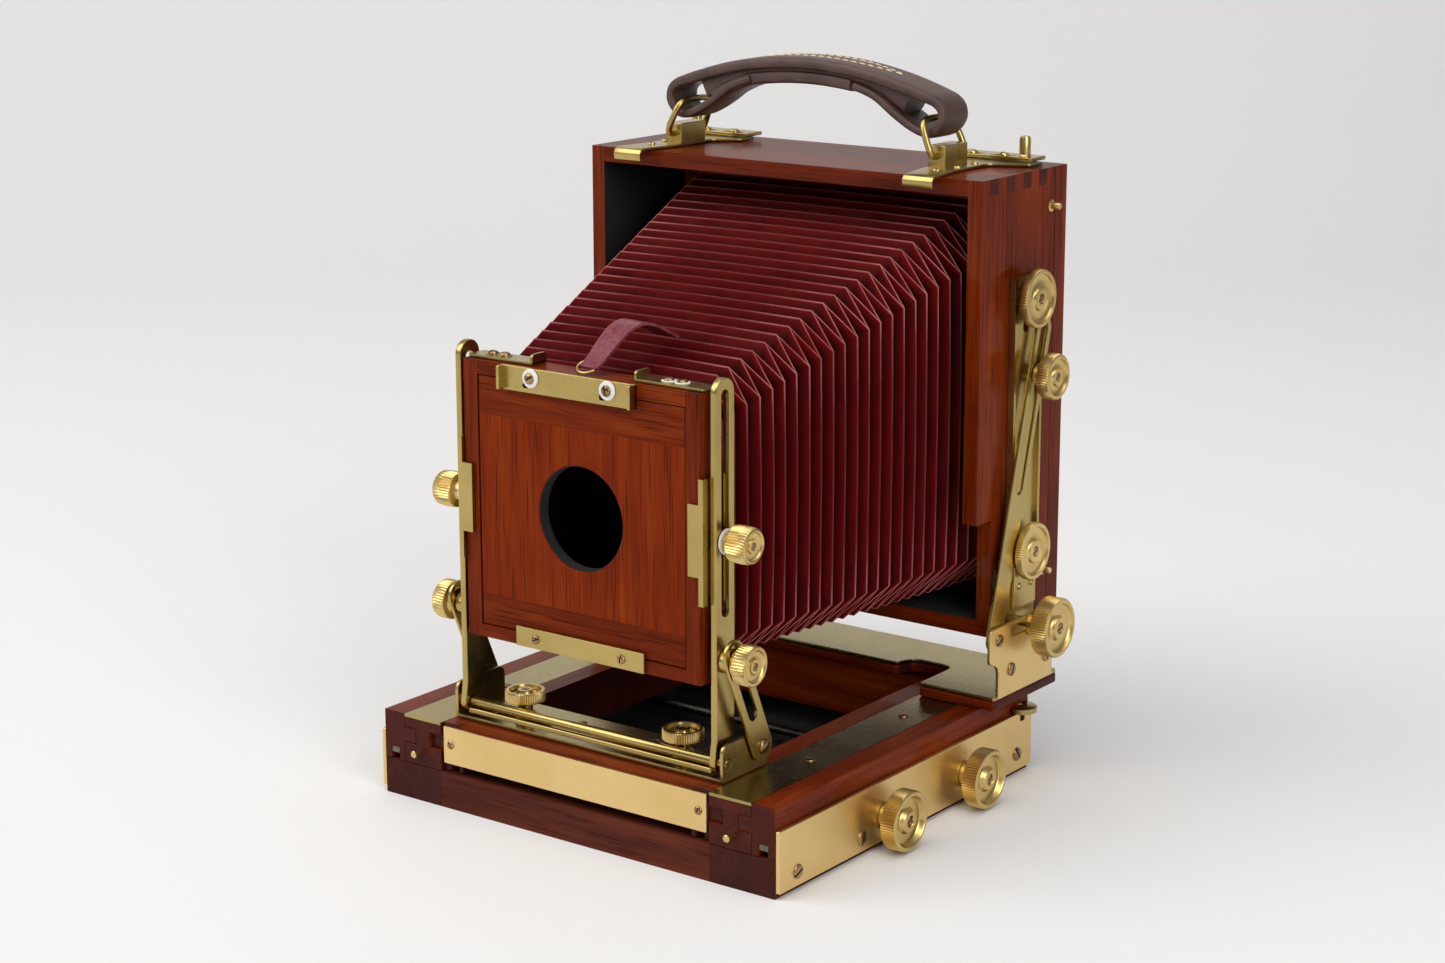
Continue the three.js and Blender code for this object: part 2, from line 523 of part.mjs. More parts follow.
function lockDisc(z) {
  const { x, r, endX, lipR, dishX, dishR, y } = DISC;
  return turnedX([[CHANNEL_STUD_X, 0], [CHANNEL_STUD_X, STUD_R], [x, STUD_R], [x, r], [endX, r],
    [endX, lipR], [dishX, dishR], [dishX, 0]], y, z);
}

// ---------------------------------------------------------------- rear box and its back
function rearBox() {
  const { half, y0, y1, z0, z1, wall, notchY, notchZ } = BOX;
  return cut(
    box(-half, half, y0, y1, z0, z1),
    box(-half + wall, half - wall, y0 - CLEAR, y1 + CLEAR, z0 + wall, z1 - wall),
    box(-half - CLEAR, half + CLEAR, y0 - CLEAR, notchY, z0 - CLEAR, notchZ));
}

// A brass plate on the box's top: a hooked lip at the front, a T at the rear, and the block
// that carries the handle's ring.
function topPlate() {
  const z0 = BOX.z1 + GAP;
  const { thick, neckX0, neckX1, neckY0, neckY1 } = TOP_PLATE;
  const lip = TOP_LIP;
  const { x0, x1, y0, y1 } = TOP_TEE;
  const z1 = z0 + thick;
  const outline = polygon([[lip.x0, lip.y], [lip.x1, lip.y], [neckX1, neckY0], [neckX1, neckY1], [x1, y0],
    [x1, y1], [x0, y1], [x0, y0], [neckX0, neckY1], [neckX0, neckY0]]);
  const block = RING_BLOCK;
  const bore = block.y1 - block.y0 + 2 * CLEAR;
  const ringHole = new THREE.CylinderGeometry(RING.holeR, RING.holeR, bore, ROUND)
    .translate(RING.x, RING.y, RING.z);
  return cut(join(prismZ(outline, z0, z1),
    box(lip.x0, lip.x1, lip.y, lip.y + thick, z0 - lip.drop, z1),
    box(block.x0, block.x1, block.y0, block.y1, z0, block.z1)), ringHole);
}

// A bent wire loop whose ends meet inside the block: up one side, across under the strap, and down.
function handleRing() {
  const { x, y, z, inside, halfY, height, wireR } = RING;
  const { lean, low, high, top, bow, corner, tension, steps, sides } = RING_SHAPE;
  const rear = [[0, inside, 0], [0, halfY, 0], [-low * lean, halfY + bow, low * height],
    [-lean, halfY - bow, high * height], [-top * lean, halfY - corner, height]];
  const corners = [...rear.map(([a, b, c]) => [a, -b, c]), ...rear.reverse()];
  const points = corners.map(([a, b, c]) => new THREE.Vector3(x + a, y + b, z + c));
  const extrudePath = new THREE.CatmullRomCurve3(points, false, 'catmullrom', tension);
  const section = new THREE.Shape().absarc(0, 0, wireR, 0, 2 * Math.PI, false);
  const options = { steps, curveSegments: sides, bevelEnabled: false, extrudePath };
  return new THREE.ExtrudeGeometry(section, options);
}

// The leather strap: an arch whose ends are folded into loops round the rings.
function handleStrap() {
  const { half, span, foot, rise, power, thick, width, steps } = STRAP;
  const arch = (x) => foot + rise * Math.cos((x / half) * (Math.PI / 2)) ** power;
  const upper = [];
  const lower = [];
  for (let i = 0; i <= steps; i += 1) {
    const x = -span + (2 * span * i) / steps;
    upper.push([x, arch(x) + thick / 2]);
    lower.push([x, arch(x) - thick / 2]);
  }
  const body = prismY(polygon([...lower, ...upper.reverse()]), RING.y - width / 2, RING.y + width / 2);
  const eye = (side, r, length) =>
    new THREE.CylinderGeometry(r, r, length, ROUND).translate(side * STRAP_EYE.x, RING.y, STRAP_EYE.z);
  const { outerR, innerR } = STRAP_EYE;
  return cut(join(body, eye(-1, outerR, STRAP_EYE.width), eye(1, outerR, STRAP_EYE.width)),
    eye(-1, innerR, DRILL), eye(1, innerR, DRILL));
}

// A bar that slides along the box's top edge and locks the back. A post stands on it.
function backLatch() {
  const { x0, x1, y0, y1, slotY, slotHalf, screws } = LATCH;
  const z0 = BOX.z1 + GAP + TOP_PLATE.thick + GAP;
  const slots = screws.map((x) => slot(x - slotHalf, slotY, x + slotHalf, slotY, SCREW_R));
  const bar = prismZ(withHoles(rectangle(x0, x1, y0, y1), ...slots), z0, z0 + BRASS);
  const post = LATCH_POST;
  return join(bar, cylinderZ(post.r, post.top - z0, post.x, post.y, (post.top + z0) / 2, post.sides));
}

function backFrame() {
  const { y0, y1, openX, openZ } = BACK;
  const shape = rectangle(-BOX.half, BOX.half, BOX.z0, BOX.z1);
  const hole = rectangle(-openX, openX, BOX_MID_Z - openZ, BOX_MID_Z + openZ);
  return prismY(withHoles(shape, hole), y0, y1);
}

function glassFrame() {
  const { half, halfZ, thick, paneX, paneZ, rebate } = GLASS;
  const y0 = BACK.y1 + GAP;
  const around = (x, z, a, b) => box(-x, x, a, b, BOX_MID_Z - z, BOX_MID_Z + z);
  return cut(
    around(half, halfZ, y0, y0 + thick),
    around(paneX + GAP, paneZ + GAP, y0 - CLEAR, y0 + rebate),
    around(paneX - rebate, paneZ - rebate, y0, y0 + thick + CLEAR));
}

function groundGlass() {
  const { paneX, paneZ, paneIn, pane } = GLASS;
  const y = BACK.y1 + GAP + paneIn;
  return box(-paneX, paneX, y, y + pane, BOX_MID_Z - paneZ, BOX_MID_Z + paneZ);
}

// ---------------------------------------------------------------- assembly
add('base_frame', bedFrame(), endGrain());
add('tripod_plate', tripodPlate(), brass());
addPair('side_plate', sidePlate(), brass);
add('outer_frame', outerFrame(), wood());
add('middle_frame', middleFrame(), wood());
add('front_frame', innerFrame(), wood());
addPair('rail_strip', railStrip(), brass);
const frontRack = rack(FRONT_RACK_X, FRONT_PINION_Y, SPARE, FRONT_TRAVEL + SPARE, INNER.board0, INNER.rear);
const rearRack = rack(REAR_RACK_X, REAR_PINION_Y, REAR_TRAVEL + SPARE, SPARE, 0, BED.depth);
addPair('front_rack', frontRack, steel);
addPair('rear_rack', rearRack, steel);
add('front_pinion_shaft', pinionShaft(FRONT_RACK_X, FRONT_PINION_Y), steel());
add('rear_pinion_shaft', pinionShaft(REAR_RACK_X, REAR_PINION_Y), steel());

add('front_base_plate', basePlate(), brass());
add('shift_clamp_right', clampScrew(1), brass());
add('shift_clamp_left', clampScrew(-1), brass());
addPair('front_upright', frontUpright(), brass);
add('front_cross_rod', crossRod(), brass());
addPair('front_brace', slottedBrace(BRACE, { y: UPRIGHT_Y, z: LOWER.z }), brass);
addPair('front_lower_knob', lowerKnob(), brass);
addPair('rise_washer', riseWasher(), nylon);
addPair('front_upper_knob', upperKnob(), brass);
add('lens_frame', lensFrame(), wood());
addPair('frame_pad', framePad(), brass);
add('lens_board', lensBoard(), wood());
add('board_clip', boardClip(), brass());
add('bellows', bellows(), cloth());

add('wing_board', wingBoard(), wood());
add('wing_plate', wingPlate(), brass());
addPair('rear_channel', rearChannel(), brass);
addPair('rear_brace', slottedBrace(REAR_BRACE, BRACE_STUD), brass);
addPair('brace_knob', braceKnob(), brass);
addPair('foot_knob', footKnob(), brass);
addPair('lower_disc', lockDisc(DISC.low), brass);
addPair('upper_disc', lockDisc(DISC.high), brass);
add('rear_box', rearBox(), wood());
addPair('top_plate', topPlate(), brass);
addPair('handle_ring', handleRing(), brass);
add('handle_strap', handleStrap(), leather());
addPair('back_latch', backLatch(), brass);
add('back_frame', backFrame(), wood());
add('glass_frame', glassFrame(), wood());
add('ground_glass', groundGlass(), frosted());

camera.position.y = -(Y_MIN + Y_MAX) / 2;

export default camera;
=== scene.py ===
import math
import bmesh
import bpy
from mathutils import Matrix, Vector, noise

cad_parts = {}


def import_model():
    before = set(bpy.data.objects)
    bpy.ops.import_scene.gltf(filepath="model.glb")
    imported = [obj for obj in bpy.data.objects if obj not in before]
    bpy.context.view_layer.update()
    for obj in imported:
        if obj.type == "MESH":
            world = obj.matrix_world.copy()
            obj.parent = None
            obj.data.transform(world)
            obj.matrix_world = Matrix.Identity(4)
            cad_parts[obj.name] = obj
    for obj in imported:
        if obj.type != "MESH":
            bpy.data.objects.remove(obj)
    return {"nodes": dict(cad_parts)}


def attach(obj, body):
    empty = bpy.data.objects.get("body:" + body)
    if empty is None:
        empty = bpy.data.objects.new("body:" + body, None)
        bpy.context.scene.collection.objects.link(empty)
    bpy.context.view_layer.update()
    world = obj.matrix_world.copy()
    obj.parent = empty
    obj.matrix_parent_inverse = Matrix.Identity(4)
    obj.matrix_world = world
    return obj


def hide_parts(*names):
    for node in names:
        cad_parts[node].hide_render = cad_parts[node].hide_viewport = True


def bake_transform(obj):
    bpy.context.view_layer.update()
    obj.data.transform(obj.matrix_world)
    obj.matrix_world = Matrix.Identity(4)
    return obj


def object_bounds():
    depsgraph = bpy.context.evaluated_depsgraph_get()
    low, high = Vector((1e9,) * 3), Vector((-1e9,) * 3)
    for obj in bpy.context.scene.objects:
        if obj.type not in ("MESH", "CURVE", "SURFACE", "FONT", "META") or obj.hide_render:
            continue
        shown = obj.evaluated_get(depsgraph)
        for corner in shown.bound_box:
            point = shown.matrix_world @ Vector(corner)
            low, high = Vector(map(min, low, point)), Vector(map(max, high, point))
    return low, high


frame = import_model()
NODES = frame["nodes"]
CAD_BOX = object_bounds()

# Lengths are in millimetres in the camera's own frame: x = 0 at its middle, y = 0 at the front of
# the bed and z = 0 at the floor. spot() turns them into the row frame's metres.
MM = 0.001
BED_FRONT = CAD_BOX[0][1] / MM
AXIS_NUMBER = {"X": 0, "Y": 1, "Z": 2}
SIDES = (("right", 1), ("left", -1))


def spot(x, y, z):
    return Vector((x, y + BED_FRONT, z)) * MM


# ---------------------------------------------------------------- materials
def new_material(name):
    made = bpy.data.materials.new(name)
    made.use_nodes = True
    tree = made.node_tree
    return made, tree, tree.nodes["Principled BSDF"]


def feed(tree, made, inputs):
    """Links or sets a node's inputs."""
    for key, value in inputs.items():
        if isinstance(value, bpy.types.NodeSocket):
            tree.links.new(value, made.inputs[key])
        else:
            made.inputs[key].default_value = value


def node(tree, kind, inputs, **settings):
    made = tree.nodes.new(kind)
    for key, value in settings.items():
        setattr(made, key, value)
    feed(tree, made, inputs)
    return made


def math_node(tree, operation, a, b=0.0):
    return node(tree, "ShaderNodeMath", {0: a, 1: b}, operation=operation).outputs[0]


def times(tree, a, b):
    return math_node(tree, "MULTIPLY", a, b)


def weighted(tree, *parts):
    """The sum of (value, weight) pairs."""
    total = times(tree, *parts[0])
    for part in parts[1:]:
        total = math_node(tree, "ADD", total, times(tree, *part))
    return total


def object_coords(tree):
    return node(tree, "ShaderNodeTexCoord", {}).outputs["Object"]


def stretched(tree, coords, scale):
    return node(tree, "ShaderNodeMapping", {"Vector": coords, "Scale": scale}).outputs[0]


def noise_value(tree, vector, scale, detail, rough, distortion=0.0):
    return node(tree, "ShaderNodeTexNoise", {"Vector": vector, "Scale": scale, "Detail": detail,
                                             "Roughness": rough, "Distortion": distortion}).outputs[0]


def ramp(tree, value, stops):
    made = node(tree, "ShaderNodeValToRGB", {0: value})
    ramp_stops = made.color_ramp.elements
    while len(ramp_stops) < len(stops):
        ramp_stops.new(0.5)
    for stop, (place, colour) in zip(ramp_stops, stops):
        stop.position = place
        stop.color = (*colour, 1)
    return made.outputs[0]


def mix_colour(tree, factor, a, b, blend="MIX"):
    a, b = (tone if isinstance(tone, bpy.types.NodeSocket) else (*tone, 1) for tone in (a, b))
    return node(tree, "ShaderNodeMix", {0: factor, 6: a, 7: b}, data_type="RGBA",
                blend_type=blend).outputs[2]


def scale_range(tree, value, low, high, from_low=0.0, from_high=1.0):
    return node(tree, "ShaderNodeMapRange", {"Value": value, "From Min": from_low, "From Max": from_high,
                                             "To Min": low, "To Max": high}).outputs[0]


def bump(tree, shader, height, strength, distance):
    made = node(tree, "ShaderNodeBump", {"Height": height, "Strength": strength, "Distance": distance})
    tree.links.new(made.outputs[0], shader.inputs["Normal"])


# Wood tones, from the dark of the grain to the light.
MAHOGANY = ((0.070, 0.008, 0.001), (0.140, 0.016, 0.002), (0.230, 0.036, 0.004))
ROSEWOOD = ((0.045, 0.011, 0.007), (0.098, 0.022, 0.012), (0.155, 0.036, 0.018))
BOARD_ENDS = ((0.070, 0.008, 0.001), (0.145, 0.017, 0.002), (0.220, 0.034, 0.004))
PLY = ((0.125, 0.011, 0.001), (0.190, 0.021, 0.0015), (0.255, 0.038, 0.003))
END_GRAIN = (0.035, 0.010, 0.010)
GRAIN_STRETCH = 0.07
PORE_STRETCH = GRAIN_STRETCH * 0.35
BRUSH_STRETCH = 0.02
SECOND_SEED = 3.1


def stretch_along(axis, amount):
    return [amount if key == axis else 1.0 for key in "XYZ"]


def grain(tree, coords, axis, tones, seed):
    """Colour and height of wood with its grain along an axis: broad bands, fine streaks and dark pores."""
    along = stretch_along(axis, GRAIN_STRETCH)
    shifted = node(tree, "ShaderNodeVectorMath", {0: coords, 1: (seed, seed * 1.7, seed * 0.6)}).outputs[0]
    run = stretched(tree, shifted, along)
    bands = noise_value(tree, run, 95, 3, 0.6, 0.7)
    streaks = noise_value(tree, run, 520, 2, 0.6)
    flame = noise_value(tree, shifted, 16, 2, 0.5)
    level = weighted(tree, (bands, 0.55), (streaks, 0.25), (flame, 0.25))
    colour = ramp(tree, level, ((0.36, tones[0]), (0.52, tones[1]), (0.70, tones[2])))
    pore_run = stretched(tree, shifted, stretch_along(axis, PORE_STRETCH))
    pore = noise_value(tree, pore_run, 1500, 1, 0.5)
    pores = ramp(tree, pore, ((0.30, (0.35, 0.30, 0.30)), (0.42, (1, 1, 1))))
    return mix_colour(tree, 0.8, colour, pores, "MULTIPLY"), level


def end_shade(tree, colour, axis):
    """Ends of the grain drink more varnish, so they are darker."""
    normal = node(tree, "ShaderNodeTexCoord", {}).outputs["Normal"]
    split = node(tree, "ShaderNodeSeparateXYZ", {0: normal})
    facing = math_node(tree, "ABSOLUTE", split.outputs[AXIS_NUMBER[axis]])
    return mix_colour(tree, times(tree, past(tree, facing, 0.8), 0.72), colour, END_GRAIN)


def wood(name, axis, tones=MAHOGANY, seed=0.0, coat=0.14, other=None):
    """Varnished wood. other = (axis, mask) or (axis, mask, tones) is a second grain where the mask is 1."""
    made, tree, shader = new_material(name)
    coords = object_coords(tree)
    colour, level = grain(tree, coords, axis, tones, seed)
    colour = end_shade(tree, colour, axis)
    if other:
        second_axis, mask, second_tones = (*other, tones)[:3]
        second, _ = grain(tree, coords, second_axis, second_tones, seed + SECOND_SEED)
        colour = mix_colour(tree, mask(tree, coords), colour, end_shade(tree, second, second_axis))
    feed(tree, shader, {"Base Color": colour, "Roughness": scale_range(tree, level, 0.26, 0.42),
                        "Coat Weight": coat, "Coat Roughness": 0.06, "Specular IOR Level": 0.03})
    bump(tree, shader, level, 0.12, 0.0002)
    return made


def axis_of(tree, coords, axis):
    """A coordinate in the camera's own millimetres."""
    part = node(tree, "ShaderNodeSeparateXYZ", {0: coords}).outputs[AXIS_NUMBER[axis]]
    part = times(tree, part, 1 / MM)
    return math_node(tree, "SUBTRACT", part, BED_FRONT) if axis == "Y" else part


def past(tree, value, limit):
    return math_node(tree, "GREATER_THAN", value, limit)


def before(tree, value, limit):
    return math_node(tree, "LESS_THAN", value, limit)


def off_middle(tree, coords):
    return math_node(tree, "ABSOLUTE", axis_of(tree, coords, "X"))


def stripes(tree, value, start, width):
    """1 and 0 by turns along a value, each for one width."""
    step = math_node(tree, "DIVIDE", math_node(tree, "SUBTRACT", value, start), 2 * width)
    return past(tree, math_node(tree, "FRACT", step), 0.5)


def finger_joint_mask(inner_x, low_z, high_z, start, width):
    """1 on the upright boards at the sides, with finger joints where they meet the boards across."""
    def mask(tree, coords):
        side = past(tree, off_middle(tree, coords), inner_x)
        z = axis_of(tree, coords, "Z")
        corner = math_node(tree, "MAXIMUM", past(tree, z, high_z), before(tree, z, low_z))
        finger = stripes(tree, axis_of(tree, coords, "Y"), start, width)
        return times(tree, side, math_node(tree, "SUBTRACT", 1.0, times(tree, corner, finger)))
    return mask


def side_mask(inner_x, tongue_x=None, low_z=0.0, high_z=0.0):
    """1 outside inner_x, and inside a tongue that reaches in to tongue_x between two heights."""
    def mask(tree, coords):
        x = off_middle(tree, coords)
        side = past(tree, x, inner_x)
        if tongue_x is None:
            return side
        z = axis_of(tree, coords, "Z")
        height = times(tree, past(tree, z, low_z), before(tree, z, high_z))
        return math_node(tree, "MAXIMUM", side, times(tree, past(tree, x, tongue_x), height))
    return mask


def middle_mask(half, centre_z):
    """1 within half of a height."""
    def mask(tree, coords):
        z = math_node(tree, "SUBTRACT", axis_of(tree, coords, "Z"), centre_z)
        return before(tree, math_node(tree, "ABSOLUTE", z), half)
    return mask


def brass(name, axis, light=(0.52, 0.39, 0.135), dark=(0.40, 0.295, 0.10), rough=(0.22, 0.34), lines=0.025):
    """Brushed and lightly tarnished brass, with the brush lines along an axis."""
    made, tree, shader = new_material(name)
    coords = object_coords(tree)
    brushed = noise_value(tree, stretched(tree, coords, stretch_along(axis, BRUSH_STRETCH)), 2600, 2, 0.6)
    tarnish = noise_value(tree, coords, 32, 3, 0.5)
    spots = noise_value(tree, coords, 420, 2, 0.5)
    colour = ramp(tree, tarnish, ((0.28, dark), (0.66, light)))
    colour = mix_colour(tree, scale_range(tree, spots, 0.0, 0.25, 0.58, 0.74), colour, dark)
    level = weighted(tree, (brushed, 0.25), (tarnish, 0.75))
    feed(tree, shader, {"Base Color": colour, "Metallic": 1.0,
                        "Roughness": scale_range(tree, level, *rough, 0.3, 0.7)})
    bump(tree, shader, brushed, lines, 0.00002)
    return made


def plain(name, low, high, rough, scale, metallic=0.0, strength=0.3, coat=0.0):
    """A finish with small-scale variation in colour, roughness and height."""
    made, tree, shader = new_material(name)
    coords = object_coords(tree)
    fine = noise_value(tree, coords, scale, 3, 0.6)
    feed(tree, shader, {"Base Color": ramp(tree, fine, ((0.35, low), (0.65, high))), "Metallic": metallic,
                        "Roughness": scale_range(tree, fine, *rough, 0.3, 0.7), "Coat Weight": coat})
    bump(tree, shader, fine, strength, 0.0001)
    return made


def bellows_material(name, deep, face, fold):
    """Coated cloth with a fine weave, with painted shade in the folds' valleys and pale lines along their
    outer edges: real wear at the corners, painted highlights along the panels.
    """
    made, tree, shader = new_material(name)
    coords = object_coords(tree)
    edge, wear_and_highlight = (node(tree, "ShaderNodeAttribute", {}, attribute_name=key).outputs["Fac"]
                  for key in ("fold", "wear_and_highlight"))
    weave = noise_value(tree, coords, 2400, 2, 0.6)
    cloud = noise_value(tree, coords, 60, 3, 0.6)
    # painted shade: the cloth darkens from the face colour towards the deep colour down in each fold's valley
    lit = scale_range(tree, math_node(tree, "POWER", edge, 1.6), 0.0, 1.0, 0.0, 0.85)
    colour = mix_colour(tree, lit, deep, face)
    colour = mix_colour(tree, scale_range(tree, cloud, 0.0, 0.35, 0.4, 0.7), colour, deep)
    # pale line along the standing folds: real wear at the corners, a painted highlight along the panels
    line = times(tree, scale_range(tree, edge, 0.0, 1.0, 0.90, 0.975), wear_and_highlight)
    worn_and_highlit = times(tree, line, scale_range(tree, cloud, 0.5, 1.0, 0.35, 0.6))
    feed(tree, shader, {"Base Color": mix_colour(tree, worn_and_highlit, colour, fold), "Specular IOR Level": 0.03,
                        "Roughness": scale_range(tree, cloud, 0.42, 0.58, 0.3, 0.7)})
    bump(tree, shader, weave, 0.25, 0.0001)
    return made


def leather_material(name):
    made, tree, shader = new_material(name)
    coords = object_coords(tree)
    cells = node(tree, "ShaderNodeTexVoronoi", {"Vector": coords, "Scale": 900},
                 feature="DISTANCE_TO_EDGE").outputs[0]
    cloud = noise_value(tree, coords, 90, 4, 0.6)
    colour = ramp(tree, cloud, ((0.35, (0.046, 0.020, 0.016)), (0.65, (0.096, 0.043, 0.034))))
    feed(tree, shader, {"Base Color": colour, "Roughness": scale_range(tree, cloud, 0.38, 0.55, 0.3, 0.7),
                        "Coat Weight": 0.12, "Coat Roughness": 0.3})
    height = math_node(tree, "ADD", scale_range(tree, cells, 0.0, 1.0, 0.0, 0.15), cloud)
    bump(tree, shader, height, 0.35, 0.0003)
    return made


def ground_glass_material(name):
    made, tree, shader = new_material(name)
    fine = noise_value(tree, object_coords(tree), 3000, 2, 0.6)
    colour = ramp(tree, fine, ((0.3, (0.62, 0.68, 0.67)), (0.7, (0.78, 0.82, 0.81))))
    feed(tree, shader, {"Base Color": colour, "Roughness": scale_range(tree, fine, 0.45, 0.65),
                        "Transmission Weight": 0.5, "IOR": 1.5})
    bump(tree, shader, fine, 0.3, 0.00005)
    return made


BOX_WALL_X, BOX_IN_LOW, BOX_IN_HIGH, BOX_FRONT = 91.8, 71.2, 246.8, 138.0
FINGER = 6.2
LENS_Z = 129.3
BOX_FINGERS = finger_joint_mask(BOX_WALL_X, BOX_IN_LOW, BOX_IN_HIGH, BOX_FRONT, FINGER)
WOOD_BOX = wood("mahogany_box", "X", other=("Z", BOX_FINGERS))
WOOD_BACK = wood("mahogany_back", "X", seed=1.3, other=("Z", side_mask(80.0)))
WOOD_SCREEN = wood("mahogany_screen", "X", seed=2.3, other=("Z", side_mask(62.0)))
WOOD_LENS_FRAME = wood("mahogany_lens_frame", "X", seed=4.1, coat=0.07, other=("Z", side_mask(51.3)))
WOOD_BOARD = wood("board_ply", "X", tones=BOARD_ENDS, seed=5.2, coat=0.05,
                  other=("Z", middle_mask(36.5, 128.0), PLY))
WOOD_BED = wood("bed_rosewood", "X", tones=ROSEWOOD, seed=6.4, coat=0.06, other=("Y", side_mask(68.0)))
WOOD_OUTER = wood("rail_outer", "X", seed=7.0, other=("Y", side_mask(87.8, 81.7, 24.0, 30.0)))
WOOD_MIDDLE = wood("rail_middle", "X", seed=8.3, other=("Y", side_mask(67.9)))
WOOD_INNER = wood("rail_front", "X", seed=9.7, other=("Y", side_mask(58.1)))
WOOD_WING = wood("wing_mahogany", "X", seed=10.4)
BRASS_X = brass("brass_brushed_x", "X")
BRASS_Y = brass("brass_brushed_y", "Y")
BRASS_Z = brass("brass_brushed_z", "Z")
BRASS_PLATE = brass("brass_side_plate", "Y", light=(0.84, 0.61, 0.27), dark=(0.74, 0.52, 0.21),
                    rough=(0.30, 0.44))
BRASS_BRIGHT = brass("brass_turned", "X", light=(0.72, 0.53, 0.21), dark=(0.56, 0.40, 0.145),
                     rough=(0.24, 0.36), lines=0.02)
# a darker copy of the brass, mostly for the plates that face up: painted reflection of the dark ceiling; its
# mottle is tarnish, as in the other brass
BRASS_DARK_REFLECTION = brass("brass_dark_reflection", "Y", light=(0.42, 0.335, 0.13), dark=(0.31, 0.24, 0.09),
                  rough=(0.22, 0.34))
BRONZE = brass("bronze_screw", "X", light=(0.46, 0.29, 0.14), dark=(0.24, 0.14, 0.06), rough=(0.20, 0.36))
# dark slot floors and walls: dirt, and painted shade in the recess
SLOT_DIRT_AND_SHADE = plain("screw_slot", (0.008, 0.006, 0.004), (0.030, 0.020, 0.012), (0.6, 0.8), 500)
DARK_STEEL = plain("shaft_steel", (0.030, 0.028, 0.025), (0.075, 0.070, 0.062), (0.35, 0.5), 500, 1.0)
STEEL = plain("rack_steel", (0.10, 0.09, 0.07), (0.22, 0.20, 0.16), (0.25, 0.45), 500, 1.0)
NYLON = plain("nylon_washer", (0.74, 0.73, 0.69), (0.86, 0.85, 0.81), (0.35, 0.5), 800, strength=0.1)
# black for the inner faces of the box, bed and lens frame and for the lens hole: painted shade where the wood
# lies in shadow
BLACK_SHADE = plain("black_painted_shade", (0.004, 0.004, 0.004), (0.012, 0.011, 0.010), (0.85, 0.95), 900)
# bellows cloth: the deep colour is painted shade in the valleys, and the last colour is the pale line of the
# worn corners and the painted ridge highlights
CLOTH = bellows_material("bellows_cloth", (0.008, 0.0004, 0.0005), (0.116, 0.0030, 0.0036),
                         (0.46, 0.155, 0.15))
# the bellows' lining; its dark burgundy is also painted shade, read as a deep fold where the inner layer
# shows through the outer
CLOTH_IN = plain("bellows_lining_and_shade", (0.012, 0.0010, 0.0015), (0.030, 0.0020, 0.0030), (0.8, 0.95), 900)
LEATHER = leather_material("leather_brown")
LEATHER_RED = plain("leather_tab", (0.12, 0.012, 0.022), (0.24, 0.035, 0.05), (0.3, 0.5), 600,
                    strength=0.5, coat=0.2)
THREAD = plain("stitch_thread", (0.56, 0.45, 0.27), (0.78, 0.66, 0.44), (0.6, 0.8), 1500)
GLASS = ground_glass_material("ground_glass")


# ---------------------------------------------------------------- making pieces
def new_object(name, data):
    made = bpy.data.objects.new(name, data)
    bpy.context.scene.collection.objects.link(made)
    return made


def mesh_from(name, curve):
    """A curve's surface as a mesh."""
    holder = new_object(name + "_curve", curve)
    mesh = bpy.data.meshes.new_from_object(holder.evaluated_get(bpy.context.evaluated_depsgraph_get()))
    bpy.data.objects.remove(holder)
    mesh.name = name
    return mesh


def finish_mesh(mesh, angle):
    """Smooth shading, with edges kept sharp where faces meet at more than an angle."""
    mesh.polygons.foreach_set("use_smooth", [True] * len(mesh.polygons))
    mesh.set_sharp_from_angle(angle=math.radians(angle))
    mesh.update()


def add_bevel(piece, width):
    made = piece.modifiers.new("edges", "BEVEL")
    made.width = width * MM
    made.segments = 2
    made.limit_method = "ANGLE"
    made.angle_limit = math.radians(35)
    made.harden_normals = True
    made.use_clamp_overlap = True


def piece_of(name, mesh, finish, body, slot="brass", replaces=(), width=0.0):
    made = new_object(name, mesh)
    for one in finish if isinstance(finish, (list, tuple)) else [finish]:
        mesh.materials.append(one)
    if width:
        add_bevel(made, width)
    if body:
        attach(made, body)
    if replaces:
        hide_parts(*replaces)
    return made


def mesh_of(name, points, faces, angle=32):
    mesh = bpy.data.meshes.new(name)
    mesh.from_pydata([spot(*p) for p in points], [], faces)
    mesh.validate()
    finish_mesh(mesh, angle)
    return mesh


PLANES = {
    "XY": lambda u, v, w: (u, v, w),
    "YZ": lambda u, v, w: (w, u, v),
    "XZ": lambda u, v, w: (u, w, v),
}


def arc(centre, r, start, end, count):
    angles = [math.radians(start + (end - start) * i / count) for i in range(count + 1)]
    return [(centre[0] + r * math.cos(angle), centre[1] + r * math.sin(angle)) for angle in angles]


def ring(centre, r, count):
    return arc(centre, r, 0, 360, count)[:-1]


def stadium(a, b, r, count=12):
    angle = math.degrees(math.atan2(b[1] - a[1], b[0] - a[0]))
    return arc(b, r, angle - 90, angle + 90, count) + arc(a, r, angle + 90, angle + 270, count)


CORNER_STEPS = 5


def rounded(corners, r):
    """A polygon with its corners rounded. A corner given as (x, y, radius) has its own radius."""
    out = []
    total = len(corners)
    for i, corner in enumerate(corners):
        here = Vector(corner[:2])
        radius = corner[2] if len(corner) > 2 else r
        before = (Vector(corners[i - 1][:2]) - here)
        after = (Vector(corners[(i + 1) % total][:2]) - here)
        if radius <= 0:
            out.append(tuple(here))
            continue
        half = before.angle(after) / 2
        reach = min(radius / math.tan(half), before.length * 0.49, after.length * 0.49)
        a = here + before.normalized() * reach
        b = here + after.normalized() * reach
        for k in range(CORNER_STEPS + 1):
            t = k / CORNER_STEPS
            out.append(tuple(a * (1 - t) ** 2 + here * 2 * t * (1 - t) + b * t * t))
    return out


def rect(x0, x1, y0, y1, r):
    return rounded([(x0, y0), (x1, y0), (x1, y1), (x0, y1)], r)


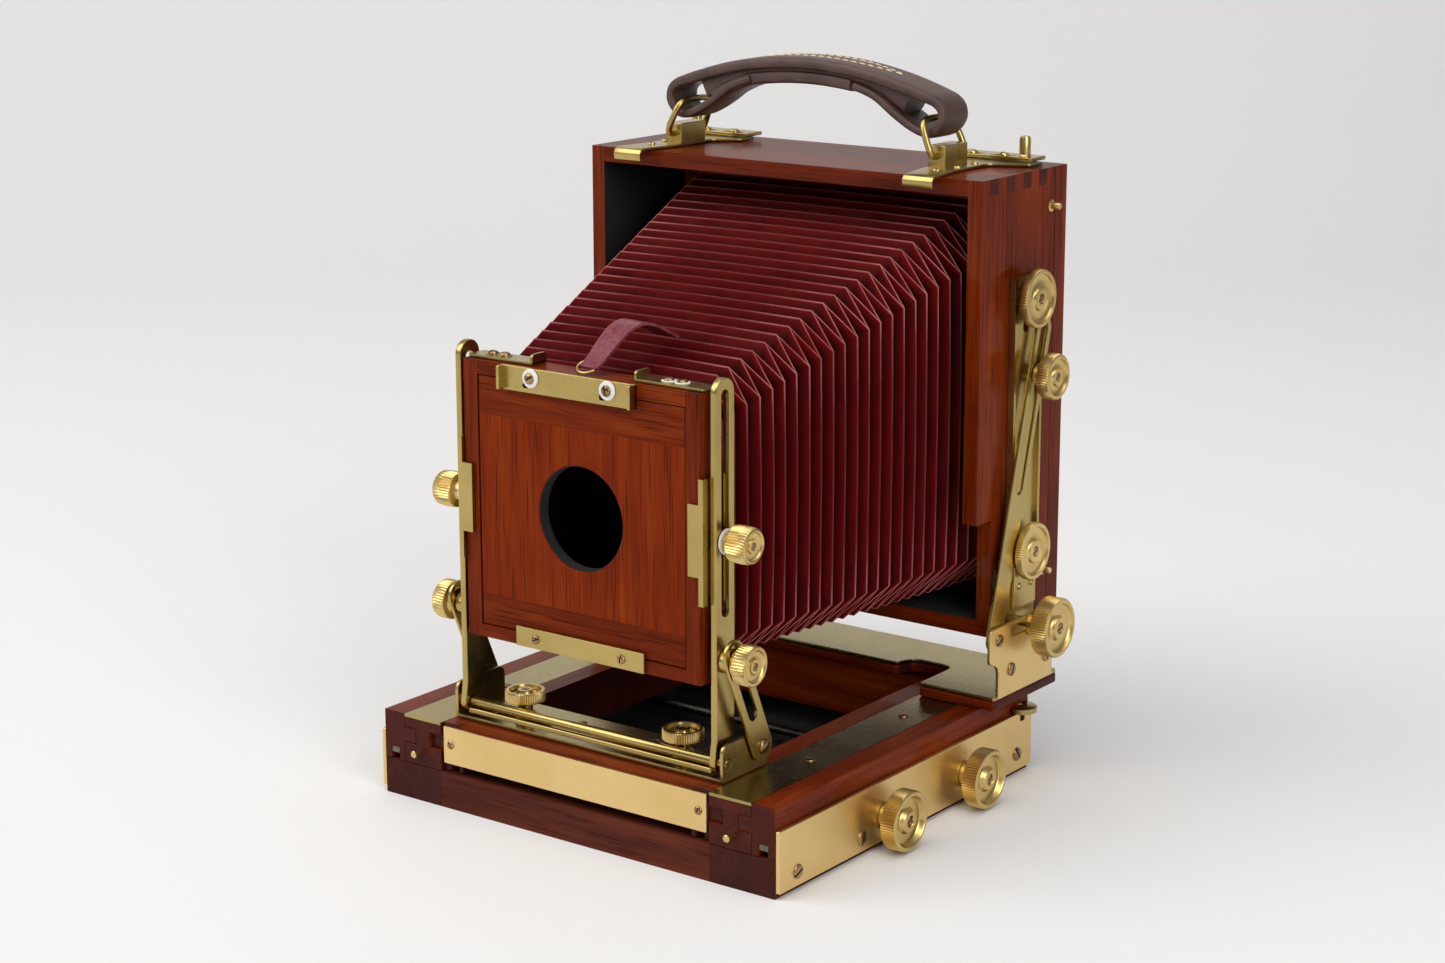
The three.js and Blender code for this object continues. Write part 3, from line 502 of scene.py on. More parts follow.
def plate(name, outline, holes, plane, low, high, finish, body, edge=0.25, **more):
    """A flat plate with holes and softly rounded edges, between low and high along its thickness."""
    curve = bpy.data.curves.new(name, "CURVE")
    curve.dimensions = "2D"
    curve.fill_mode = "BOTH"
    half = (high - low) / 2
    edge = min(edge, half * 0.6)
    curve.extrude = half - edge
    curve.bevel_depth = edge
    curve.bevel_resolution = 1
    curve.offset = -edge
    for loop in [outline, *holes]:
        spline = curve.splines.new("POLY")
        spline.points.add(len(loop) - 1)
        for point, (u, v) in zip(spline.points, loop):
            point.co = (u, v, 0, 1)
        spline.use_cyclic_u = True
    flat = mesh_from(name, curve)
    middle = (high + low) / 2
    turn = PLANES[plane]
    for vertex in flat.vertices:
        u, v, w = vertex.co
        vertex.co = spot(*turn(u, v, w + middle))
    if plane == "XZ":
        flat.flip_normals()
    finish_mesh(flat, 25)
    return piece_of(name, flat, finish, body, **more)


def turned(name, profile, centre, axis, finish, body, sides=48, knurl=0, **more):
    """A turned piece. The profile is (place, radius) pairs along the axis, or (place, radius, depth) where
    the rim is knurled to that depth. centre is the other two coordinates, in X, Y, Z order."""
    count = 2 * knurl if knurl else sides
    points = []
    faces = []
    rows = []
    for entry in profile:
        place, r = entry[:2]
        depth = entry[2] if len(entry) > 2 else 0.0
        row = []
        for k in range(1 if r <= 0 else count):
            angle = 2 * math.pi * k / count
            reach = r - (depth if k % 2 else 0.0)
            u, v = centre[0] + reach * math.cos(angle), centre[1] + reach * math.sin(angle)
            points.append({"X": (place, u, v), "Y": (u, place, v), "Z": (u, v, place)}[axis])
            row.append(len(points) - 1)
        rows.append(row)
    for a, b in zip(rows, rows[1:]):
        for k in range(count):
            j = (k + 1) % count
            corners = [a[k % len(a)], b[k % len(b)], b[j % len(b)], a[j % len(a)]]
            faces.append(list(dict.fromkeys(corners)))
    mesh = mesh_of(name, points, faces, 38)
    outward(mesh)
    return piece_of(name, mesh, finish, body, **more)


def lofted(name, rows, angle):
    """A skin over rows of points, with the same number in each, closed at both ends."""
    count = len(rows[0])
    faces = []
    for start in range(0, count * (len(rows) - 1), count):
        for k in range(count):
            j = (k + 1) % count
            faces.append((start + k, start + j, start + count + j, start + count + k))
    faces += [tuple(range(count))[::-1], tuple(range(count * (len(rows) - 1), count * len(rows)))]
    mesh = mesh_of(name, [point for row in rows for point in row], faces, angle)
    outward(mesh)
    return mesh


def mirrored(s, profile):
    """A profile along X for the side whose sign is s."""
    return [(s * place, *rest) for place, *rest in profile]


def span(s, a, b):
    """Two places along X on the side whose sign is s, the lower first."""
    return sorted((s * a, s * b))


def side_facing(s):
    return "+X" if s > 0 else "-X"


def outward(mesh):
    """Turns every face to the outside."""
    work = bmesh.new()
    work.from_mesh(mesh)
    bmesh.ops.recalc_face_normals(work, faces=work.faces)
    work.to_mesh(mesh)
    work.free()


def board(name, x0, x1, y0, y1, z0, z1, finish, body, width=0.4, **more):
    points = [(x, y, z) for x in (x0, x1) for y in (y0, y1) for z in (z0, z1)]
    faces = [(0, 1, 3, 2), (4, 6, 7, 5), (0, 4, 5, 1), (2, 3, 7, 6), (0, 2, 6, 4), (1, 5, 7, 3)]
    return piece_of(name, mesh_of(name, points, faces), finish, body, width=width, **more)


def wire(name, points, r, finish, body, closed=False, sides=4, **more):
    """A bent wire along smooth points."""
    curve = bpy.data.curves.new(name, "CURVE")
    curve.dimensions = "3D"
    curve.bevel_depth = r * MM
    curve.bevel_resolution = sides
    curve.use_fill_caps = not closed
    spline = curve.splines.new("NURBS")
    spline.points.add(len(points) - 1)
    for point, place in zip(spline.points, points):
        point.co = (*spot(*place), 1)
    spline.use_cyclic_u = closed
    spline.use_endpoint_u = not closed
    spline.order_u = 4
    spline.resolution_u = 8
    mesh = mesh_from(name, curve)
    finish_mesh(mesh, 60)
    return piece_of(name, mesh, finish, body, **more)


SCREW_SHAPES = {}


def screw(name, place, facing, r, body, head="round", turn=30.0, finish=None, **more):
    """A slotted screw's head, standing on a surface at place and facing along an axis such as "+X"."""
    key = (round(r, 2), head)
    if key not in SCREW_SHAPES:
        SCREW_SHAPES[key] = screw_shape(r, head)
    points, faces, lining = SCREW_SHAPES[key]
    sign = 1 if facing[0] == "+" else -1
    spin = math.radians(turn)
    out = []
    for u, v, w in points:
        a = u * math.cos(spin) - v * math.sin(spin)
        b = u * math.sin(spin) + v * math.cos(spin)
        shift = {"X": (w * sign, a, b), "Y": (a, w * sign, b), "Z": (a, b, w * sign)}[facing[1]]
        out.append(tuple(p + s for p, s in zip(place, shift)))
    mesh = mesh_of(name, out, faces, 50)
    outward(mesh)
    # the slot's faces take the dark slot finish: dirt and painted shade
    for face in mesh.polygons[-lining:]:
        face.material_index = 1
    return piece_of(name, mesh, [finish or BRONZE, SLOT_DIRT_AND_SHADE], body, **more)


def screw_shape(r, head):
    """A slotted head's points and faces, and how many faces at the end of the list line its slot."""
    columns, levels = 12, (0.0, 0.3, 0.6, 0.8, 0.93, 1.0)
    half, floor, rim, root = 0.15 * r, 0.05 * r, 0.10 * r, -0.4 * r
    top = (0.55 if head == "round" else 0.32) * r
    power = 2.4 if head == "round" else 5.0
    points, faces, lining, known = [], [], [], {}

    def add(u, v, w):
        key = (round(u, 6), round(v, 6), round(w, 6))
        if key not in known:
            known[key] = len(points)
            points.append((u, v, w))
        return known[key]

    def height(u, v):
        return rim + (top - rim) * math.sqrt(max(0.0, 1 - min(1.0, math.hypot(u, v) / r) ** power))

    def face(corners, group):
        corners = list(dict.fromkeys(corners))
        if len(corners) > 2:
            group.append(tuple(corners))

    start = math.asin(half / r)
    grids, floors, feet = [], [], []
    for side in (1, -1):
        grid, low, foot = [], [], []
        for k in range(columns + 1):
            angle = start + (math.pi - 2 * start) * k / columns
            u, v = r * math.cos(angle), side * r * math.sin(angle)
            edge = side * half
            grid.append([add(u, edge + f * (v - edge), height(u, edge + f * (v - edge))) for f in levels])
            low.append(add(u, edge, floor))
            foot.append(add(u, v, root))
        for k in range(columns):
            for n in range(len(levels) - 1):
                face((grid[k][n], grid[k + 1][n], grid[k + 1][n + 1], grid[k][n + 1]), faces)
            face((grid[k][0], grid[k + 1][0], low[k + 1], low[k]), lining)
            under = [foot[k + 1], foot[k]]
            if k == 0:
                under.append(low[0])
            if k == columns - 1:
                under.insert(0, low[columns])
            face([grid[k][-1], grid[k + 1][-1], *under], faces)
        grids.append(grid)
        floors.append(low)
        feet.append(foot)
    for k in range(columns):
        face((floors[0][k], floors[0][k + 1], floors[1][k + 1], floors[1][k]), lining)
    for k in (0, columns):
        face((floors[0][k], floors[1][k], feet[1][k], feet[0][k]), faces)
    face(feet[0] + feet[1][::-1], faces)
    return points, faces + lining, len(lining)


def dress(name, finish, width=0.35, chooser=None):
    """A CAD node that stays: its finish, and a small bevel on its edges."""
    kept = NODES[name]
    kept.data.materials.clear()
    for one in finish if isinstance(finish, (list, tuple)) else [finish]:
        kept.data.materials.append(one)
    for face in kept.data.polygons:
        face.use_smooth = True
        face.material_index = chooser(face) if chooser else 0
    kept.data.set_sharp_from_angle(angle=math.radians(32))
    if width:
        add_bevel(kept, width)
    return kept


def in_mm(vector):
    return Vector((vector[0] / MM, vector[1] / MM - BED_FRONT, vector[2] / MM))


# ---------------------------------------------------------------- wooden frames kept from the CAD
# Each says which of a frame's two finishes a face has: 0 is wood and 1 is black, painted shade on the inner
# faces.
EDGE = 0.2
BED_INSIDE = ((-75.5, 75.5), (11.8, 170.3), (4.9, 14.9))
LENS_FRAME_INSIDE = ((-50, 50), (14, 30), (79, 179.5))


def within(face, limits):
    return all(low < value < high for value, (low, high) in zip(in_mm(face.center), limits))


def box_face(face):
    inside = ((-BOX_WALL_X - EDGE, BOX_WALL_X + EDGE), (0, 250), (BOX_IN_LOW - EDGE, BOX_IN_HIGH + EDGE))
    return int(within(face, inside) and abs(face.normal.y) < 0.5)


def bed_face(face):
    level_or_upright = face.normal.z > 0.5 or abs(face.normal.z) < 0.1
    return int(within(face, BED_INSIDE) and level_or_upright)


def lens_frame_face(face):
    return int(within(face, LENS_FRAME_INSIDE))


dress("base_frame", [WOOD_BED, BLACK_SHADE], 0.5, bed_face)
dress("outer_frame", WOOD_OUTER, 0.5)
dress("middle_frame", WOOD_MIDDLE, 0.3)
dress("front_frame", WOOD_INNER, 0.4)
dress("lens_frame", [WOOD_LENS_FRAME, BLACK_SHADE], 0.7, lens_frame_face)
dress("rear_box", [WOOD_BOX, BLACK_SHADE], 0.6, box_face)
dress("back_frame", WOOD_BACK, 0.6)
dress("glass_frame", WOOD_SCREEN, 0.8)
dress("ground_glass", GLASS, 0.15)
dress("tripod_plate", BRASS_Y, 0.2)
for side, s in SIDES:
    dress(f"rail_strip_{side}", BRASS_DARK_REFLECTION, 0.15)
    dress(f"front_rack_{side}", STEEL, 0.0)
    dress(f"rear_rack_{side}", STEEL, 0.0)
    dress(f"frame_pad_{side}", BRASS_Z, 0.2)
    dress(f"rear_channel_{side}", BRASS_Z, 0.2)


# ---------------------------------------------------------------- bed
GEAR_Z = 13.0
SHAFTS = (("front", 69.5, 62.0), ("rear", 128.5, 93.0))


def focus_knob(name, s, y, body):
    profile = [(100.8, 4.2), (101.0, 4.8), (104.6, 4.8), (104.9, 5.6), (106.3, 5.6), (106.5, 11.0),
               (106.9, 11.9),
               (107.2, 12.2, 0.6), (112.9, 12.2, 0.6), (113.2, 11.9), (113.55, 11.3), (113.55, 10.4),
               (113.1, 9.9),
               (111.6, 9.5), (111.2, 9.0), (111.2, 5.4), (111.6, 4.9), (113.0, 4.5), (113.3, 4.1),
               (113.3, 2.5),
               (112.9, 2.2), (112.0, 2.1), (112.0, 0)]
    turned(name, mirrored(s, profile), (y, GEAR_Z), "X", BRASS_BRIGHT, body, knurl=72,
           slot="pinion")
    screw(name + "_screw", (s * 112.1, y, GEAR_Z), side_facing(s), 1.9, body, "flat", 20 * s,
          slot="pinion")


def gear_outline(y):
    out = []
    for n in range(8):
        middle = math.pi / 2 + n * math.pi / 4
        for r, turn in ((2.9, -0.24), (4.7, -0.09), (4.7, 0.09), (2.9, 0.24)):
            out.append((y + r * math.cos(middle + turn), GEAR_Z + r * math.sin(middle + turn)))
    return out


for name, y, gear_x in SHAFTS:
    body = f"{name}_pinion"
    turned(f"{name}_shaft", [(-106, 0), (-106, 2), (106, 2), (106, 0)], (y, GEAR_Z), "X", DARK_STEEL, body,
           sides=24,
           replaces=[f"{name}_pinion_shaft"], slot="pinion")
    for side, s in SIDES:
        plate(f"{name}_gear_{side}", gear_outline(y), [], "YZ", s * gear_x - 1.7, s * gear_x + 1.7,
              BRASS_BRIGHT,
              body, 0.05, slot="pinion")
        focus_knob(f"{name}_focus_knob_{side}", s, y, body)

for side, s in SIDES:
    outline = rounded([(0.2, 2.3), (181.8, 2.3), (181.8, 26.9), (176.3, 26.9, 0.2), (176.3, 23, 0.8),
                       (172.7, 23, 0.8), (172.7, 26.9, 0.2), (0.2, 26.9)], 0.6)
    holes = [ring((y, GEAR_Z), 2.4, 24) for _, y, _ in SHAFTS]
    plate(f"side_plate_{side}", outline, holes, "YZ", *span(s, 98.6, 100.4), BRASS_PLATE, "base", 0.2,
          replaces=[f"side_plate_{side}"])
    for n, (y, z, turn) in enumerate(((12, 8.0, 25), (54.8, 7.9, 70), (170.5, 9.3, 120))):
        screw(f"side_screw_{side}_{n}", (s * 100.35, y, z), side_facing(s), 2.9, "base", "flat", turn)
    for tag, y, _ in SHAFTS:
        turned(f"shaft_collar_{tag}_{side}", mirrored(s, [(100.45, 2.2), (100.45, 5.6), (100.9, 5.6),
               (101.2, 5.2), (101.2, 2.2)]), (y, GEAR_Z), "X", BRASS_BRIGHT, "base", sides=36)
    turned(f"rail_lock_disc_{side}", [(27.2, 0), (27.2, 6.0), (27.4, 6.3), (29.4, 6.3), (29.6, 6.0),
                                      (29.6, 2.2),
           (29.3, 2.0), (29.3, 0)], (s * 100.0, 174.5), "Z", BRASS_DARK_REFLECTION, "rear_slide", sides=40)
    turned(f"front_pin_{side}", [(-4.6, 0), (-4.6, 1.2), (-4.3, 1.5), (4, 1.5), (4, 0)], (s * 79, 21), "Y",
           BRASS_BRIGHT, "middle_slide", sides=24)

plate("nameplate", rect(-66.4, 66.4, 19.1, 34.5, 0.3), [], "XZ",
      0.15, 1.75,
      BRASS_PLATE, "front_slide", 0.15)
for side, s in SIDES:
    screw(f"nameplate_screw_{side}", (s * 62.6, 0.3, 27.2), "-Y", 1.8, "front_slide", "round", 60 * s)
    screw(f"strip_screw_a_{side}", (s * 77.7, 52, 35.7), "+Z", 2.1, "middle_slide", "flat", 40)
    screw(f"strip_screw_b_{side}", (s * 77.7, 118, 35.7), "+Z", 2.1, "middle_slide", "flat", 80)

# ---------------------------------------------------------------- front standard
FOOT_Y, FOOT_Z = 12.4, 43.0
UP_Y = 15.55
LOWER_KNOB_Z, UPPER_KNOB_Z = 82.8, 129.2
FRONT_PIVOT = (32.2, 45.2)
CLAMP_X, CLAMP_Y = 40, 20.5


def base_plate():
    slots = [stadium((x - 12, CLAMP_Y), (x + 12, CLAMP_Y), 2.5) for x in (-CLAMP_X, CLAMP_X)]
    holes = [ring((x, 30), 1.8, 20) for x in (-18, 18)]
    plate("front_base_sheet", rect(-67.4, 67.4, 9, 38, 0.6),
          slots + holes, "XY",
          36.0, 37.5, BRASS_DARK_REFLECTION, "front_base", 0.3, replaces=["front_base_plate"])
    for side, s in SIDES:
        outline = rounded([(9, 36.1, 1), (38, 36.1, 1), (38, 51, 4), (9, 51, 4)], 1)
        plate(f"front_ear_{side}", outline, [ring((FOOT_Y, FOOT_Z), 2.2, 20)], "YZ", *span(s, 66.1, 67.6),
              BRASS_Z,
              "front_base", 0.3)
        screw(f"front_brace_screw_{side}", (s * 69.8, *FRONT_PIVOT), side_facing(s), 3.0,
              f"front_brace_{side}", "round", 35 * s)


base_plate()


def clamp(side, s):
    profile = [(24, 0), (24, 2), (37.6, 2), (37.8, 3.6), (38.0, 4.2, 0.375), (40.6, 4.2, 0.375),
               (40.9, 3.8), (41.2, 3.0),
               (44.6, 3.0), (45.2, 4.4), (45.5, 7.8), (45.7, 8.2, 0.45), (49.5, 8.2, 0.45), (49.9, 7.8),
               (50.0, 7.3),
               (49.9, 6.6), (48.4, 6.2), (48.2, 5.8), (48.2, 3.6), (48.5, 3.3), (49.9, 3.1), (50.0, 2.9),
               (50.0, 1.7),
               (49.4, 1.6), (49.4, 0)]
    turned(f"clamp_screw_{side}", profile, (s * CLAMP_X, CLAMP_Y), "Z", BRASS_BRIGHT,
           f"shift_clamp_{side}", knurl=52,
           replaces=[f"shift_clamp_{side}"])
    screw(f"clamp_slot_{side}", (s * CLAMP_X, CLAMP_Y, 49.45), "+Z", 1.4, f"shift_clamp_{side}", "flat",
          50 * s)


def upright(side, s):
    outline = arc((UP_Y, 185.85), 5.65, 0, 180, 20) + [(9.9, 52)] + arc((FOOT_Y, FOOT_Z), 3.9, 180, 360,
                                                                        16) + [(21.2, 54)]
    holes = [stadium((UP_Y, 102.3), (UP_Y, 184.7), 2.3, 14), ring((UP_Y, LOWER_KNOB_Z), 2.2, 20),
             ring((FOOT_Y, FOOT_Z), 2.2, 20)]
    plate(f"upright_{side}", outline, holes, "YZ", *span(s, 61.4, 64.2), BRASS_Z, "uprights", 0.3,
          replaces=[f"front_upright_{side}"])


def strut(name, pivot, stud, x, width, beyond, start, body, replaced):
    """A slotted brace from its pivot to past its stud, lying in the plane of the camera's side."""
    a, b = Vector(pivot), Vector(stud)
    along = (b - a).normalized()
    length = (b - a).length
    tip = a + along * (length + beyond - width / 2)
    outline = stadium(tuple(a), tuple(tip), width / 2, 16)
    hole = stadium(tuple(a + along * start), tuple(a + along * (length + beyond - 4.5)), 2.7, 12)
    low, high = sorted((x, x + math.copysign(1.5, x)))
    plate(name, outline, [hole], "YZ", low, high, BRASS_Z, body, 0.3, replaces=[replaced])


LOWER_KNOB = [(67.9, 2.0), (69.95, 2.0), (70.0, 5.6), (71.6, 5.8), (72.2, 7.6), (72.6, 8.0, 0.45),
              (77.6, 8.0, 0.45), (78.1, 7.6),
              (78.3, 7.1), (78.2, 6.5), (77.3, 6.1), (77.0, 5.6), (77.0, 3.4), (77.3, 3.0), (78.1, 2.8),
              (78.1, 1.6),
              (77.6, 1.5), (77.6, 0)]
UPPER_KNOB = [(61.3, 0), (61.3, 2.0), (65.6, 2.0), (65.7, 4.0), (67.6, 4.3), (68.3, 6.4),
              (68.8, 7.1, 0.45), (73.0, 7.3, 0.45),
              (76.9, 7.0, 0.45), (77.4, 6.5), (77.6, 6.0), (77.4, 5.5), (76.6, 5.1), (76.4, 4.6),
              (76.4, 3.0),
              (77.2, 2.6), (77.2, 1.6), (76.8, 1.5), (76.8, 0)]


def side_knob(name, profile, s, y, z, body, replaced, teeth, boss_x, boss_r):
    turned(name, mirrored(s, profile), (y, z), "X", BRASS_BRIGHT, body, knurl=teeth,
           replaces=[replaced])
    screw(name + "_slot", (s * boss_x, y, z), side_facing(s), boss_r, body, "flat", 25 * s)


for side, s in SIDES:
    clamp(side, s)
    upright(side, s)
    strut(f"front_strut_{side}", FRONT_PIVOT, (UP_Y, LOWER_KNOB_Z), s * 68.2, 12.0, 9.5, 16.0,
          f"front_brace_{side}",
          f"front_brace_{side}")
    side_knob(f"lower_knob_{side}", LOWER_KNOB, s, UP_Y, LOWER_KNOB_Z, f"front_lower_knob_{side}",
              f"front_lower_knob_{side}", 44, 77.65, 1.4)
    turned(f"lower_stud_{side}", mirrored(s, [(61.1, 0), (61.1, 2.0), (64.4, 2.0), (64.5, 4.9),
           (67.6, 5.0), (67.8, 4.8), (67.8, 2.0), (70.2, 2.0), (70.2, 0)]), (UP_Y, LOWER_KNOB_Z), "X",
           BRASS_X,
           f"front_lower_knob_{side}", sides=32)
    side_knob(f"upper_knob_{side}", UPPER_KNOB, s, UP_Y, UPPER_KNOB_Z, f"front_upper_knob_{side}",
              f"front_upper_knob_{side}", 40, 76.85, 1.4)
    turned(f"white_washer_{side}", mirrored(s, [(64.45, 2.3), (64.45, 4.8), (64.6, 5.0), (65.2, 5.0),
           (65.3, 4.8), (65.3, 2.3), (64.45, 2.3)]), (UP_Y, UPPER_KNOB_Z), "X", NYLON, "front_carriage",
           sides=36,
           replaces=[f"rise_washer_{side}"], slot="nylon")
    for n, x in enumerate((38.3, 44.6) if s > 0 else (42.9, 48.9)):
        screw(f"hook_screw_{side}_{n}", (s * x, 15.2, 187.5), "+Z", 2.2, "lens_frame", "round", 40 + 50 * n)
        turned(f"hook_washer_{side}_{n}", [(187.15, 1.2), (187.15, 3.0), (187.5, 3.0), (187.6, 2.8),
                                           (187.6, 1.2),
               (187.15, 1.2)], (s * x, 15.2), "Z", NYLON if s > 0 else BRASS_X, "lens_frame", sides=28)
    plate(f"hook_plate_{side}", rect(s * 25, s * 57.5, 10.5, 19.6, 0.8), [],
          "XY", 186.0, 187.2, BRASS_DARK_REFLECTION, "lens_frame", 0.2)
    plate(f"hook_tip_{side}", rounded([(10.6, 186.2), (19.5, 186.2), (19.5, 190.4, 2), (10.6, 190.4, 2)],
                                      0.4), [], "YZ",
          *span(s, 25, 26.3), BRASS_DARK_REFLECTION, "lens_frame", 0.3)

turned("cross_rod", [(-67.9, 0), (-67.9, 1.8), (-67.6, 2.0), (67.6, 2.0), (67.9, 1.8), (67.9, 0)],
       (FOOT_Y, FOOT_Z),
       "X", BRASS_X, "uprights", sides=32, replaces=["front_cross_rod"])
board("tie_bar", -61.3, 61.3, 9.9, 12.0, 38.6, 40.8, BRASS_X, "uprights", 0.5)

# ---------------------------------------------------------------- lens board and its clips
HOLE_R = 20.85
CLIP_STUDS = (-22, 16)
plate("lens_board", rect(-50.8, 50.8, 78.9, 179.7, 0.4),
      [ring((0, LENS_Z), HOLE_R, 96)], "XZ", 8.3, 13.5, WOOD_BOARD, "lens_frame", 0.3,
      replaces=["lens_board"],
      slot="wood")
# a black sleeve in the lens hole: painted shade
turned("hole_shade", [(8.8, HOLE_R - 0.01), (8.8, 20.5), (13.6, 20.5), (13.6, HOLE_R - 0.01),
                       (8.8, HOLE_R - 0.01)],
       (0, LENS_Z), "Y", BLACK_SHADE, "lens_frame", sides=96, slot="wood")

clip_slots = [stadium((x - 2.9, 179.3), (x, 182.2), 1.4) for x in CLIP_STUDS]
plate("clip_plate", rect(-37.4, 28.7, 176.3, 186, 0.3), clip_slots,
      "XZ", 6.2, 7.7,
      BRASS_X, "board_clip", 0.2, replaces=["board_clip"])
for n, x in enumerate((-37.4, 27.2)):
    plate(f"clip_curl_{n}", rounded([(3.3, 176.4), (7.4, 176.4, 0), (7.4, 185.9, 0), (3.3, 185.9)], 0.8),
          [], "YZ", x, x + 1.5,
          BRASS_X, "board_clip", 0.25)
for n, x in enumerate(CLIP_STUDS):
    turned(f"clip_washer_{n}", [(6.1, 1.2), (6.1, 3.7), (5.9, 3.8), (5.3, 3.6), (5.2, 1.2), (6.1, 1.2)],
           (x, 182.2),
           "Y", NYLON, "lens_frame", sides=36, slot="nylon")
    screw(f"clip_screw_{n}", (x, 5.2, 182.2), "-Y", 2.2, "lens_frame", "round", 30 + 70 * n)
plate("board_strip", rect(-32, 32, 73.5, 81.6, 0.3), [], "XZ", 6.4, 7.8,
      BRASS_X,
      "lens_frame", 0.2)
for n, x in enumerate((-22, 21)):
    screw(f"strip_front_screw_{n}", (x, 6.4, 77.4), "-Y", 1.9, "lens_frame", "round", 20 + 60 * n)

# ---------------------------------------------------------------- bellows
# Each station is a fold. Where the top and bottom fold out the sides fold in, so that the cut corners zigzag.
PLEATS = 26
FOLD = 5.4
CLOTH_THICK = 0.9
UNEVEN = 0.8
PANEL_POINTS = 5
FRONT_Y, REAR_Y = 20.6, 184.6
STEP = (REAR_Y - FRONT_Y) / (2 * PLEATS)
FRONT_SECTION = {"half": 56.0, "low": 76.0, "high": 183.0, "cut": 11.0}
REAR_SECTION = {"half": 89.0, "low": 78.0, "high": 242.0, "cut": 17.0}
CHAIN = ["lens_frame", "front_carriage", "uprights", "front_base", "front_slide", "base", "rear_slide",
         "rear_wing",
         "rear_box"]
CUTS = [0, 7, 12, 25, 27, 35, 38, 42, 52]


def fold_y(k):
    uneven = 0 if k in (0, 2 * PLEATS) else UNEVEN * noise.noise(Vector((k * 0.83, 2.7, 1.9)))
    return FRONT_Y + STEP * k + uneven


def station(k, layer):
    """The points round fold k: place, whether the fold stands out there, and how pale its edge is drawn: worn
    at the corners, a painted highlight along the panels.
    """
    t = k / (2 * PLEATS)
    half, low, high, cut = (FRONT_SECTION[n] * (1 - t) + REAR_SECTION[n] * t for n in ("half", "low",
                                                                                       "high", "cut"))
    flat_out = k % 2 == 0
    y = fold_y(k)
    z_in = layer + (0.0 if flat_out else FOLD)
    x_in = layer + (FOLD if flat_out else 0.0)
    x, z0, z1 = half - x_in, low + z_in, high - z_in
    run = half - cut
    top, side = high - cut, low + cut
    out = []
    for n, (a, b, stands) in enumerate((((-run, z1), (run, z1), flat_out),
                                        ((x, top), (x, side), not flat_out),
                                        ((run, z0), (-run, z0), flat_out),
                                        ((-x, side), (-x, top), not flat_out))):
        normal = Vector((b[1] - a[1], a[0] - b[0])).normalized() * -1
        sway = 0.7 * noise.noise(Vector((k * 0.61, 7.3 * n, 1.7)))
        for i in range(PANEL_POINTS):
            u = i / (PANEL_POINTS - 1)
            swell = (0.7 if stands else -0.7) * math.sin(math.pi * u)
            px = a[0] * (1 - u) + b[0] * u + normal.x * swell
            pz = a[1] * (1 - u) + b[1] * u + normal.y * swell
            # 1 at the panel's ends, where the corners are worn; 0.22 between them, a painted highlight along
            # the ridge
            wear_and_highlight = 1.0 if i in (0, PANEL_POINTS - 1) else 0.22
            out.append(((px, min(y + sway * math.sin(math.pi * u), REAR_Y), pz), stands, wear_and_highlight))
    return out


def skin(first, last, layer, points, folds, wears_and_highlights):
    """The faces of one layer of cloth. Corner faces are split from one standing fold to the next."""
    rings, standing = [], []
    for k in range(first, last + 1):
        row = []
        for place, stands, wear_and_highlight in station(k, layer):
            points.append(place)
            folds.append(1.0 if stands else 0.0)
            standing.append(stands)
            wears_and_highlights.append(wear_and_highlight)
            row.append(len(points) - 1)
        rings.append(row)
    base = rings[0][0]
    faces = []
    for r, t in zip(rings, rings[1:]):
        for i in range(len(r)):
            j = (i + 1) % len(r)
            a, b, c, d = r[i], r[j], t[j], t[i]
            if (i + 1) % PANEL_POINTS:
                faces.append((a, b, c, d))
            elif standing[a - base]:
                faces += [(a, b, c), (a, c, d)]
            else:
                faces += [(a, b, d), (b, c, d)]
    return rings, faces


def bellows_segment(n, first, last):
    points, folds, wears_and_highlights = [], [], []
    outer_rings, outer = skin(first, last, 0.0, points, folds, wears_and_highlights)
    inner_rings, inner = skin(first, last, CLOTH_THICK, points, folds, wears_and_highlights)
    faces = outer + [tuple(reversed(face)) for face in inner]
    for end in (0, -1):
        row, under = outer_rings[end], inner_rings[end]
        for i in range(len(row)):
            j = (i + 1) % len(row)
            quad = (row[i], under[i], under[j], row[j])
            faces.append(quad if end == 0 else tuple(reversed(quad)))
    mesh = bpy.data.meshes.new(f"bellows_{n}")
    mesh.from_pydata([spot(*p) for p in points], [], faces)
    for key, values in (("fold", folds), ("wear_and_highlight", wears_and_highlights)):
        mesh.attributes.new(key, "FLOAT", "POINT").data.foreach_set("value", values)
    made = new_object(f"bellows_{n}", mesh)
    mesh.materials.append(CLOTH)
    mesh.materials.append(CLOTH_IN)
    for i, face in enumerate(mesh.polygons):
        face.use_smooth = False
        face.material_index = 0 if i < len(outer) else 1
    end = FRONT_Y + STEP * last - 2 * UNEVEN
    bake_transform(made)
    return made


segments = [bellows_segment(n, CUTS[n], CUTS[n + 1]) for n in range(len(CHAIN) - 1)]
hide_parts("bellows")


def smooth_path(points, steps):
    """A smooth run through the points."""
    out = []
    for i in range(len(points) - 1):
        p0, p1, p2, p3 = (Vector(points[max(0, min(len(points) - 1, j))]) for j in (i - 1, i, i + 1, i + 2))
        for k in range(steps):
            t = k / steps
            out.append(0.5 * (2 * p1 + (p2 - p0) * t + (2 * p0 - 5 * p1 + 4 * p2 - p3) * t * t
                              + (3 * p1 - p0 - 3 * p2 + p3) * t ** 3))
    out.append(Vector(points[-1]))
    return out


